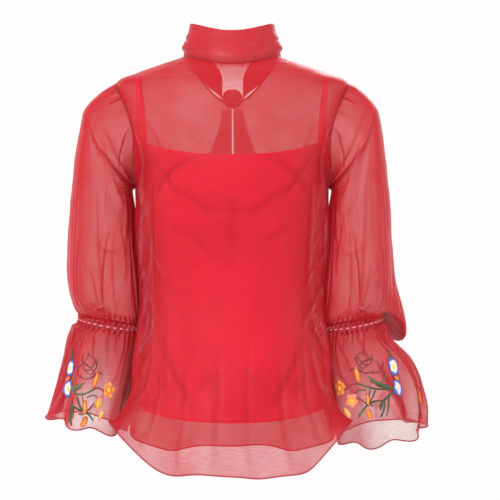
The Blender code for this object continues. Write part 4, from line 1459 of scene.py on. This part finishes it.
# %% [markdown]
# The thread is glossy rayon. Its stitches run across each patch, 0.4 mm apart, and are drawn twice
# as coarse so that they still show. Each patch is dropped onto the finished ruffle, so it follows
# the waves. The needle goes through the sheer cloth, so a flat copy of the patch lies inside it.

# %% Embroidery thread and patches
SATIN_STITCH_M = 0.0008
PATCH_LIFT = 0.55
PATCH_HEIGHT = 0.9
STEM_HEIGHT = 0.5
LAYER_HEIGHT = 0.7
INSIDE_LAYER = 0.4
THREAD_THICKNESS = 0.3
PATCH_ENDS = (0.08, 0.96)  # how nearly a patch closes to a point at its start and its end
DOME_ENDS = (0.06, 0.94)
PATCH_COLUMNS = 6
PATCH_LINES = 10


def satin_thread(name):
    made, tree, shader = new_material(name, 0.34, sheen=0.15, shine=0.5)
    place = add(tree, "ShaderNodeUVMap", uv_map="stitch").outputs["UV"]
    thread = add(tree, "ShaderNodeAttribute", attribute_name="thread").outputs["Color"]
    stitch = add(
        tree, "ShaderNodeTexWave",
        {"Vector": place, "Scale": WAVE_PERIOD / SATIN_STITCH_M, "Distortion": 0.8},
        bands_direction="Y",
    ).outputs["Fac"]
    between = add(
        tree, "ShaderNodeMapRange", {"Value": stitch, "From Max": 0.6, "To Min": 0.35, "To Max": 0.0}
    ).outputs[0]
    colour = add(
        tree, "ShaderNodeMix", {0: between, MIX_A: thread, MIX_B: hex_colour("#401A14")},
        data_type="RGBA",
    ).outputs[MIX_RESULT]
    tree.links.new(colour, shader.inputs["Base Color"])
    bump = add(tree, "ShaderNodeBump", {"Height": stitch, "Strength": 0.6, "Distance": 0.0004})
    tree.links.new(bump.outputs["Normal"], shader.inputs["Normal"])
    return made


def stitch_patch(bm, patch, drop, inside):
    """Adds one patch, raised on the outside and flat on the inside, dropped onto the cloth."""
    uv = bm.loops.layers.uv["stitch"]
    thread = bm.verts.layers.float_color["thread"]
    run = Vector((patch.end_across - patch.across, patch.end_down - patch.down))
    aside_way = Vector((-run.y, run.x)).normalized()
    height = PATCH_HEIGHT if patch.point else STEM_HEIGHT
    colours = [Vector(hex_colour(THREADS[name])) for name in (patch.base, patch.tip)]
    grid = bmesh.ops.create_grid(bm, x_segments=PATCH_COLUMNS, y_segments=PATCH_LINES, size=0.5)
    for vert in grid["verts"]:
        aside, along = vert.co.x * 2, vert.co.y + 0.5
        half = patch.width / 2
        if patch.point:
            half *= math.sin(math.pi * mix(*PATCH_ENDS, along)) ** patch.point
        bow = patch.bow * math.sin(math.pi * along)
        place = Vector((patch.across, patch.down)) + run * along + aside_way * (aside * half + bow)
        dome = height * (1 - aside * aside) * math.sqrt(math.sin(math.pi * mix(*DOME_ENDS, along)))
        vert[thread] = colours[0].lerp(colours[1], smooth((along - 0.5) / 0.2))
        for loop in vert.link_loops:
            loop[uv].uv = (aside * half * MM, along * run.length * MM)
        if inside:
            lift = -PATCH_LIFT - INSIDE_LAYER * patch.layer
        else:
            lift = PATCH_LIFT + LAYER_HEIGHT * patch.layer + dome
        vert.co = drop(place.x, place.y, lift)


def dropper(side):
    """Gives the function that drops a place of the cut onto the ruffle, at a lift from it."""
    form, _ = ruffle_form(side)
    mesh = ruffles[side].data
    surface = BVHTree.FromPolygons(
        [vert.co for vert in mesh.vertices], [face.vertices for face in mesh.polygons]
    )

    def drop(across, down, lift):
        flat_place = form(across / RUFFLE_CUT[0], min(down / RUFFLE_CUT[1], 1.0)) * MM
        point, normal, _, _ = surface.find_nearest(flat_place)
        return point + normal * lift * MM

    return drop


rayon = satin_thread("rayon embroidery thread")
for side in ("left", "right"):
    shift = SPRAY_SHIFT[side]
    patches = [
        patch._replace(across=patch.across + shift, end_across=patch.end_across + shift) for patch in SPRAY
    ]
    if side == "right":
        patches += SPRIG
    drop = dropper(side)
    bm = bmesh.new()
    bm.loops.layers.uv.new("stitch")
    bm.verts.layers.float_color.new("thread")
    for patch in patches:
        for inside in (False, True):
            stitch_patch(bm, patch, drop, inside)
    bmesh.ops.recalc_face_normals(bm, faces=bm.faces)
    embroidery = trim("embroidery_" + side, bm, rayon)
    thicken(embroidery, THREAD_THICKNESS)
    stands_for(
        ruffles[side], "ruffle_" + side, "sheer_ruffle",
    )
    print("embroidery", side, len(embroidery.data.polygons), "faces")

# %% [markdown]
# ## Collar and tie
#
# The collar is one long band folded in two, so it is twice as dense as the shirt. It is smooth at
# the back and slouches into rolls at its sides. Its ends pass into the knot at the front, which
# shows only faintly through the back, and hang as two tails.

# %% Collar
CollarRow = namedtuple("CollarRow", "side_z front_z back_z half_width front_depth back_depth")
COLLAR_ROWS = [
    CollarRow(4, -58, -10, 69.5, 66, 57),
    CollarRow(16, -46, 0, 71, 67, 58),
    CollarRow(28, -32, 13, 68, 65, 55),
    CollarRow(40, -17, 25, 63, 62, 52),
    CollarRow(51, -2, 37, 61, 59, 50),
]
COLLAR_SEAM = 1.05
COLLAR_END_ANGLE = 15
COLLAR_LEAN = 6
COLLAR_DIP = 44
COLLAR_DIP_WIDTH = 27
COLLAR_PULL = 14
COLLAR_PULL_WIDTH = 12
KNOT_SIZE = (30, 24, 30)
KNOT_CENTRE = (0, -83, -50)
KNOT_SIDE_GAP = 0.8
COLLAR_END_X = KNOT_SIZE[0] / 2 + KNOT_SIDE_GAP
COLLAR_CUT = (400, 52)
COLLAR_COLUMNS = 200
COLLAR_LINES = 40
COLLAR_THICKNESS = 1.4
COLLAR_CREASES = [
    Crease(58, 26, 122, 27, 2.6, -2.4, 0, 0.25),
    Crease(62, 39, 126, 38, 2.6, 1.6, 0, 0.10),
    Crease(60, 45, 120, 45, 2.0, -1.4, 0, 0.20),
    Crease(126, 46, 150, 12, 5.0, -0.8, 2, 0.06),
    Crease(104, 30, 176, 34, 4.0, -0.8, 3, 0.06),
]
COLLAR_CREASES = both_halves(COLLAR_CREASES, COLLAR_CUT[0])


def collar_form(across, down):
    index = (1 - down) * (len(COLLAR_ROWS) - 1)
    row = row_at(COLLAR_ROWS, index)
    angle = mix(COLLAR_END_ANGLE - 90, 270 - COLLAR_END_ANGLE, across)
    at_back = math.sin(math.radians(angle)) > 0
    x, y = ring_point(row.half_width, row.back_depth if at_back else row.front_depth, 2, angle)
    turned = abs(math.sin(math.radians(angle))) ** RING_BEND
    z = mix(row.side_z, row.back_z if at_back else row.front_z, turned)
    height = index / (len(COLLAR_ROWS) - 1)
    from_front = turn_between(angle, 270)
    z -= COLLAR_DIP * height * bell(from_front, COLLAR_DIP_WIDTH)
    y -= COLLAR_LEAN * height * height
    at_end = bell(abs(from_front) - COLLAR_END_ANGLE, COLLAR_PULL_WIDTH)
    y -= COLLAR_PULL * at_end
    x = mix(x, math.copysign(COLLAR_END_X, x), at_end)
    return Vector((x, y, z + COLLAR_SEAM))


collar = cloth(
    "collar_cloth", COLLAR_COLUMNS, COLLAR_LINES, collar_form, doubled, COLLAR_CUT,
    creases=COLLAR_CREASES, crumple=0.9, thickness=COLLAR_THICKNESS,
)
stands_for(collar, "collar", "collar_cloth")

# %% [markdown]
# The knot is cloth wrapped round cloth: a soft pillow with a few deep folds that run across it. It
# starts as a ball that is made squarer, and each fold sinks it along a slanted line and darkens it
# there, as denser cloth and painted shade.

# %% Knot
KNOT_SQUARENESS = 2.6
KnotFold = namedtuple("KnotFold", "place width depth")
KNOT_FOLDS = [
    KnotFold(-0.55, 0.2, 0.9),
    KnotFold(-0.1, 0.16, 1.3),
    KnotFold(0.4, 0.2, 1.0),
    KnotFold(0.8, 0.14, 0.7),
]
KNOT_FOLD_SLANT = 0.3
KNOT_FOLD_DARK = 0.5
KNOT_FOLD_DEPTH = 0.9  # in mm

bm = bmesh.new()
bmesh.ops.create_uvsphere(bm, u_segments=48, v_segments=32, radius=1)
knot_fold_and_shade = bm.verts.layers.float.new("fold")
uv = bm.loops.layers.uv.new("cut")
for vert in bm.verts:
    shape = [math.copysign(abs(value) ** (2 / KNOT_SQUARENESS), value) for value in vert.co]
    across = vert.co.x + KNOT_FOLD_SLANT * vert.co.z
    sunk = sum(fold.depth * bell(across - fold.place, fold.width) for fold in KNOT_FOLDS)
    # Sunk folds are denser and get painted shade
    vert[knot_fold_and_shade] = min(1.0, KNOT_FOLD_DARK * sunk)
    vert.co = Vector(
        (centre + value * (size / 2 - KNOT_FOLD_DEPTH * sunk)) * MM
        for value, size, centre in zip(shape, KNOT_SIZE, KNOT_CENTRE)
    )
for face in bm.faces:
    for loop in face.loops:
        loop[uv].uv = (loop.vert.co.x, loop.vert.co.z)
knot = trim("tie_knot_cloth", bm, doubled)
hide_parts("tie_knot")
print("knot:", KNOT_SIZE, "mm")

# %% [markdown]
# The tails fall from the knot over the front, each a narrow strip that widens and ends in a slant.
# A tail has to lie on the front panel whatever its width, so the panel's own surface is searched
# for the place below each of its points.

# %% Tails
Tail = namedtuple("Tail", "direction top_width bottom_width length slant phase")
TAILS = {
    "left": Tail(1, 14, 54, 262, 9, 0.0),
    "right": Tail(-1, 14, 52, 246, 6, 0.5),
}
KNOT_UNDER_GAP = 0.5
TAIL_TOP_Z = KNOT_CENTRE[2] - KNOT_SIZE[2] / 2 - KNOT_UNDER_GAP
TAILS_APART = 4
TAIL_LIFT = 2.2
TAIL_KNOT_LIFT = 7
TAIL_KNOT_SHARE = 0.2
TAIL_FOLD = 2.4
TAIL_FOLDS = 1.5
TAIL_SPREAD = 0.75
TAIL_SPREAD_SHARE = 0.45
TAIL_SLOPE = 12
TAIL_CUT = (54, 262)
TAIL_COLUMNS = 26
TAIL_LINES = 80
HALVINGS = 18


def front_place(x, z):
    """The angle and place at which the front panel has this X and Z."""
    low, high = 0.0, float(HEM_ROW)
    for _ in range(HALVINGS):
        place = (low + high) / 2
        row = row_at(BODY_ROWS, place)
        angle = 360 - math.degrees(math.acos(min(1.0, abs(x) / row.half_width) ** (row.power / 2)))
        if body_point(angle, place).z > z:
            low = place
        else:
            high = place
    return (angle if x > 0 else 540 - angle), place


def tail_form(side):
    tail = TAILS[side]

    def form(across, down):
        spread = smooth(down / TAIL_SPREAD_SHARE)
        width = mix(tail.top_width, tail.bottom_width, mix(down, spread, TAIL_SPREAD))
        x = tail.direction * (TAILS_APART / 2 + tail.slant * down * down + width * across)
        z = TAIL_TOP_Z - tail.length * down - TAIL_SLOPE * down * across
        angle, place = front_place(x, z)
        fold = 0.5 + 0.5 * math.cos(2 * math.pi * (TAIL_FOLDS * across + tail.phase))
        at_knot = 1 - smooth(down / TAIL_KNOT_SHARE)
        lift = TAIL_LIFT + TAIL_FOLD * fold * spread + TAIL_KNOT_LIFT * at_knot
        point = body_point(angle, place) + body_outward(angle, place) * lift
        return Vector((x, point.y, z))

    return form


TAIL_CREASES = [
    Crease(26, 2, 20, 120, 2.4, 0.8, 2, 0.45),
    Crease(34, 10, 40, 180, 2.6, -0.8, 2, 0.40),
    Crease(12, 40, 10, 220, 2.6, 0.7, 2, 0.30),
]
for side in ("left", "right"):
    tail = cloth(
        "tie_tail_cloth_" + side, TAIL_COLUMNS, TAIL_LINES, tail_form(side), sheer, TAIL_CUT,
        creases=TAIL_CREASES, outward=Vector((0, -1, 0)),
    )
    stands_for(
        tail, "tie_tail_" + side, "sheer_body",
    )

# %% [markdown]
# ## Camisole
#
# The camisole lies close inside the shirt and lets no light through, so it is the one solid patch
# of colour. Soft drags run from its straps and sides towards the middle of the back.

# %% Camisole tables
LiningRow = namedtuple("LiningRow", "z half_width front_depth back_depth power")
LINING_ROWS = [
    LiningRow(-100, 147, 97, 90, 2.4),
    LiningRow(-140, 140, 106, 91, 2.4),
    LiningRow(-180, 129, 110, 90, 2.4),
    LiningRow(-220, 120, 106, 86, 2.35),
    LiningRow(-280, 114, 96, 80, 2.3),
    LiningRow(-335, 113, 93, 79, 2.3),
    LiningRow(-390, 119, 97, 85, 2.3),
    LiningRow(-445, 129, 105, 94, 2.25),
    LiningRow(-500, 136, 111, 101, 2.2),
    LiningRow(-545, 139, 114, 104, 2.2),
]
LINING_SIDE_TOP = -195
LINING_CORNER_ANGLE = 24
LINING_BACK_CORNER_TOP = -118
LINING_FRONT_CORNER_TOP = -132
LINING_BACK_CENTRE_TOP = -142
LINING_FRONT_CENTRE_TOP = -176
LINING_SIDE_HEM = -498
LINING_CENTRE_HEM = -517
LINING_TOP_BEND = 1.3
LINING_HEM_BEND = 1.4
CORNER_SHARE = 3 / 16
CAMI_CUT = (330, 380)
# The dark values of these drags are painted shade
CAMI_CREASES = [
    Crease(78, 2, 116, 66, 5.0, -2.4, -3, 0.95),
    Crease(136, 4, 68, 84, 5.0, -2.4, -4, 0.95),
    Crease(108, 54, 150, 88, 8.0, -2.0, 5, 0.50),
    Crease(90, 110, 150, 144, 10.0, -1.8, 8, 0.34),
    Crease(68, 260, 136, 374, 7.0, -2.2, 5, 0.75),
    Crease(60, 300, 116, 362, 7.0, 1.4, 5, 0.25),
    Crease(150, 300, 130, 348, 6.0, -1.2, 3, 0.25),
]
CAMI_CREASES = both_halves(CAMI_CREASES, CAMI_CUT[0])
CAMI_CREASES += [
    Crease(128, 82, 202, 82, 8.0, -1.4, 3, 0.25),
    Crease(165, 52, 165, 160, 6.0, -1.4, 0, 0.40),
]
print("camisole:", len(LINING_ROWS), "rings,", len(CAMI_CREASES), "creases")

# %% [markdown]
# Its top edge climbs from the side to each strap's corner and dips between the two, and its hem is
# a shallow curve. Between them the cloth follows the rings.

# %% Camisole
CAMI_COLUMNS = 96
CAMI_LINES = 90
CAMI_THICKNESS = 0.9
CAMI_SIDE_PLACE = 52
CAMI_SIDE_REACH = 34
CAMI_SIDE_DARK = 0.30
CAMI_SIDE_TOP = 0.1
CAMI_SIDE_FADE = 0.3


def lining_angle(across):
    """The angle from the side. The corners at the straps lie 3 sixteenths of the way in."""
    near = min(across, 1 - across)
    if near <= CORNER_SHARE:
        angle = LINING_CORNER_ANGLE * near / CORNER_SHARE
    else:
        angle = mix(LINING_CORNER_ANGLE, 90, (near - CORNER_SHARE) / (0.5 - CORNER_SHARE))
    return angle if across <= 0.5 else 180 - angle


def lining_top(from_side, at_back):
    corner = LINING_BACK_CORNER_TOP if at_back else LINING_FRONT_CORNER_TOP
    centre = LINING_BACK_CENTRE_TOP if at_back else LINING_FRONT_CENTRE_TOP
    if from_side < LINING_CORNER_ANGLE:
        return mix(LINING_SIDE_TOP, corner, (from_side / LINING_CORNER_ANGLE) ** LINING_TOP_BEND)
    share = (from_side - LINING_CORNER_ANGLE) / (90 - LINING_CORNER_ANGLE)
    return mix(corner, centre, math.sin(math.pi / 2 * share))


def lining_section(angle, z):
    place = 0
    while place < len(LINING_ROWS) - 2 and LINING_ROWS[place + 1].z > z:
        place += 1
    share = (z - LINING_ROWS[place].z) / (LINING_ROWS[place + 1].z - LINING_ROWS[place].z)
    row = row_at(LINING_ROWS, place + share)
    depth = row.back_depth if math.sin(math.radians(angle)) > 0 else row.front_depth
    x, y = ring_point(row.half_width, depth, row.power, angle)
    return Vector((x, y, z))


def lining_form(at_back):
    def form(across, down):
        angle = lining_angle(across)
        from_side = min(angle, 180 - angle)
        top = lining_top(from_side, at_back)
        dip = math.sin(math.radians(from_side)) ** LINING_HEM_BEND
        hem = mix(LINING_SIDE_HEM, LINING_CENTRE_HEM, dip)
        point = lining_section(angle if at_back else 180 + angle, mix(top, hem, down))
        point.y += (SIDE_SEAM / 2) * (1 if at_back else -1)
        return point

    return form


def lining_side_darkness(across, down):
    """The camisole turns into the shade beside the sleeves."""
    from_side = min(across, 1 - across) * CAMI_CUT[0]
    dark = CAMI_SIDE_DARK * bell(from_side - CAMI_SIDE_PLACE, CAMI_SIDE_REACH)
    return dark * smooth((down - CAMI_SIDE_TOP) / CAMI_SIDE_FADE)


for at_back, name in ((True, "cami_back"), (False, "cami_front")):
    cami = cloth(
        name + "_cloth", CAMI_COLUMNS, CAMI_LINES, lining_form(at_back), camisole_red, CAMI_CUT,
        creases=CAMI_CREASES, crumple=0.5, darkness=lining_side_darkness, thickness=CAMI_THICKNESS,
    )
    stands_for(cami, name, "camisole")

# %% [markdown]
# Each strap is a narrow strip of the same satin. It runs just inside the shirt from the front
# corner over the shoulder to the back corner, and leaves the shirt's surface near its ends to meet
# the camisole.

# %% Straps
STRAP_WIDTH = 7.5
STRAP_LENGTH = 230
STRAP_X = 138
STRAP_UNDER = 2.6
STRAP_BACK_PLACE = 7.0
STRAP_FRONT_PLACE = 6.3
STRAP_END_GAP = 0.7
STRAP_SPAN = 4.6
STRAP_COLUMNS = 6
STRAP_LINES = 64
STEPS_A_ROW = 100
strap_start = next(
    step / STEPS_A_ROW
    for step in range(SHOULDER_ROW * STEPS_A_ROW)
    if row_at(BODY_ROWS, step / STEPS_A_ROW).half_width >= STRAP_X
)


def under_shoulder(across, place, at_back):
    """A point on the left strap's path just under the shirt, as wide as the strap."""
    row = row_at(BODY_ROWS, place)
    angle = math.degrees(math.acos(min(1.0, STRAP_X / row.half_width) ** (row.power / 2)))
    angle = angle if at_back else -angle
    outward = body_outward(angle, place)
    sideways = Vector((1, 0, 0)) - outward * outward.x
    point = body_point(angle, place) - outward * STRAP_UNDER
    return point + sideways.normalized() * STRAP_WIDTH * (across - 0.5)


def strap_form(side):
    def form(across, down):
        at_back = down > 0.5
        along = abs(down - 0.5) * 2
        last = STRAP_BACK_PLACE if at_back else STRAP_FRONT_PLACE
        place = mix(strap_start, last, along * along)
        from_side = LINING_CORNER_ANGLE + STRAP_SPAN * (1 - across)
        edge = lining_section(
            from_side if at_back else -from_side, lining_top(from_side, at_back) + STRAP_END_GAP
        )
        end = edge - under_shoulder(across, last, at_back)
        point = under_shoulder(across, place, at_back) + end * smooth(along)
        if side == "right":
            point.x = -point.x
        return point

    return form


for side in ("left", "right"):
    strap = cloth(
        "strap_cloth_" + side, STRAP_COLUMNS, STRAP_LINES, strap_form(side), camisole_red,
        (STRAP_WIDTH, STRAP_LENGTH), thickness=CAMI_THICKNESS, outward=Vector((0, 0, 1)),
    )
    stands_for(strap, "strap_" + side, "camisole")

# %% [markdown]
# ## Seams and rolled hems in place
#
# The seams follow the edges of the panels: two sides, two shoulders, two armholes and the neck.
# Rolled hems finish the shirt tails and the ruffles, and the camisole has a bound edge at its top
# and its hem. One stretch of each ruffle's hem curls over on itself, so its roll is thicker there.

# %% Seams
SEAM_RADIUS = 1.1
NECK_SEAM_RADIUS = 1.5
HEM_RADIUS = 1.0
CURL_PLACE = {"left": 0.05, "right": 0.10}
CURL_LENGTH = 0.028
CURL_RADIUS = 3.8
SIDE_STEPS = 90
SHOULDER_STEPS = 40
ROUND_STEPS = 150
HEM_STEPS = 160


def curled_radius(side):
    return lambda share: mix(HEM_RADIUS, CURL_RADIUS, bell(share - CURL_PLACE[side], CURL_LENGTH))


for side, at_side in (("left", 0), ("right", 180)):
    tube(
        "side_seam_" + side, lambda share: body_point(at_side, mix(UNDERARM_ROW, HEM_ROW, share)),
        SEAM_RADIUS, SIDE_STEPS, seam_red,
    )
    tube(
        "shoulder_seam_" + side, lambda share: body_point(at_side, mix(0, SHOULDER_ROW, share)),
        SEAM_RADIUS, SHOULDER_STEPS, seam_red,
    )
    tube(
        "armhole_seam_" + side, lambda share: armhole_point(side, 360 * share),
        SEAM_RADIUS, ROUND_STEPS, seam_red, closed=True,
    )
    ruffle_edge, _ = ruffle_form(side)
    tube(
        "ruffle_hem_" + side, lambda share: ruffle_edge(share, 1.0),
        curled_radius(side), RUFFLE_COLUMNS, hem_red, closed=True,
    )
tube(
    "neck_seam", lambda share: body_point(360 * share, 0),
    NECK_SEAM_RADIUS, ROUND_STEPS, seam_red, closed=True,
)
for at_back, name in ((True, "back"), (False, "front")):
    for edge, down in (("top", 0.0), ("hem", 1.0)):
        tube(
            f"camisole_{edge}_{name}", lambda share: lining_form(at_back)(share, down),
            HEM_RADIUS, CAMI_COLUMNS, camisole_red,
        )
for at_back, name in ((True, "back_hem"), (False, "front_hem")):
    tube(name, lambda share: panel_point(share, HEM_ROW, at_back), HEM_RADIUS, HEM_STEPS, hem_red)

# %% [markdown]
# ## Floor

# The dressed shirt has to stay inside the box of its solids, apart from what cloth may stand proud.

floor_paint, _, floor_shader = new_material("painted floor", 0.7)
floor_shader.inputs["Base Color"].default_value = hex_colour("#F4F2F1")
bm = bmesh.new()
bmesh.ops.create_circle(bm, cap_ends=True, segments=96, radius=FLOOR_RADIUS)
bmesh.ops.translate(bm, verts=bm.verts, vec=(0, 0, FLOOR_Z))
floor = piece_from("floor", bm, floor_paint)
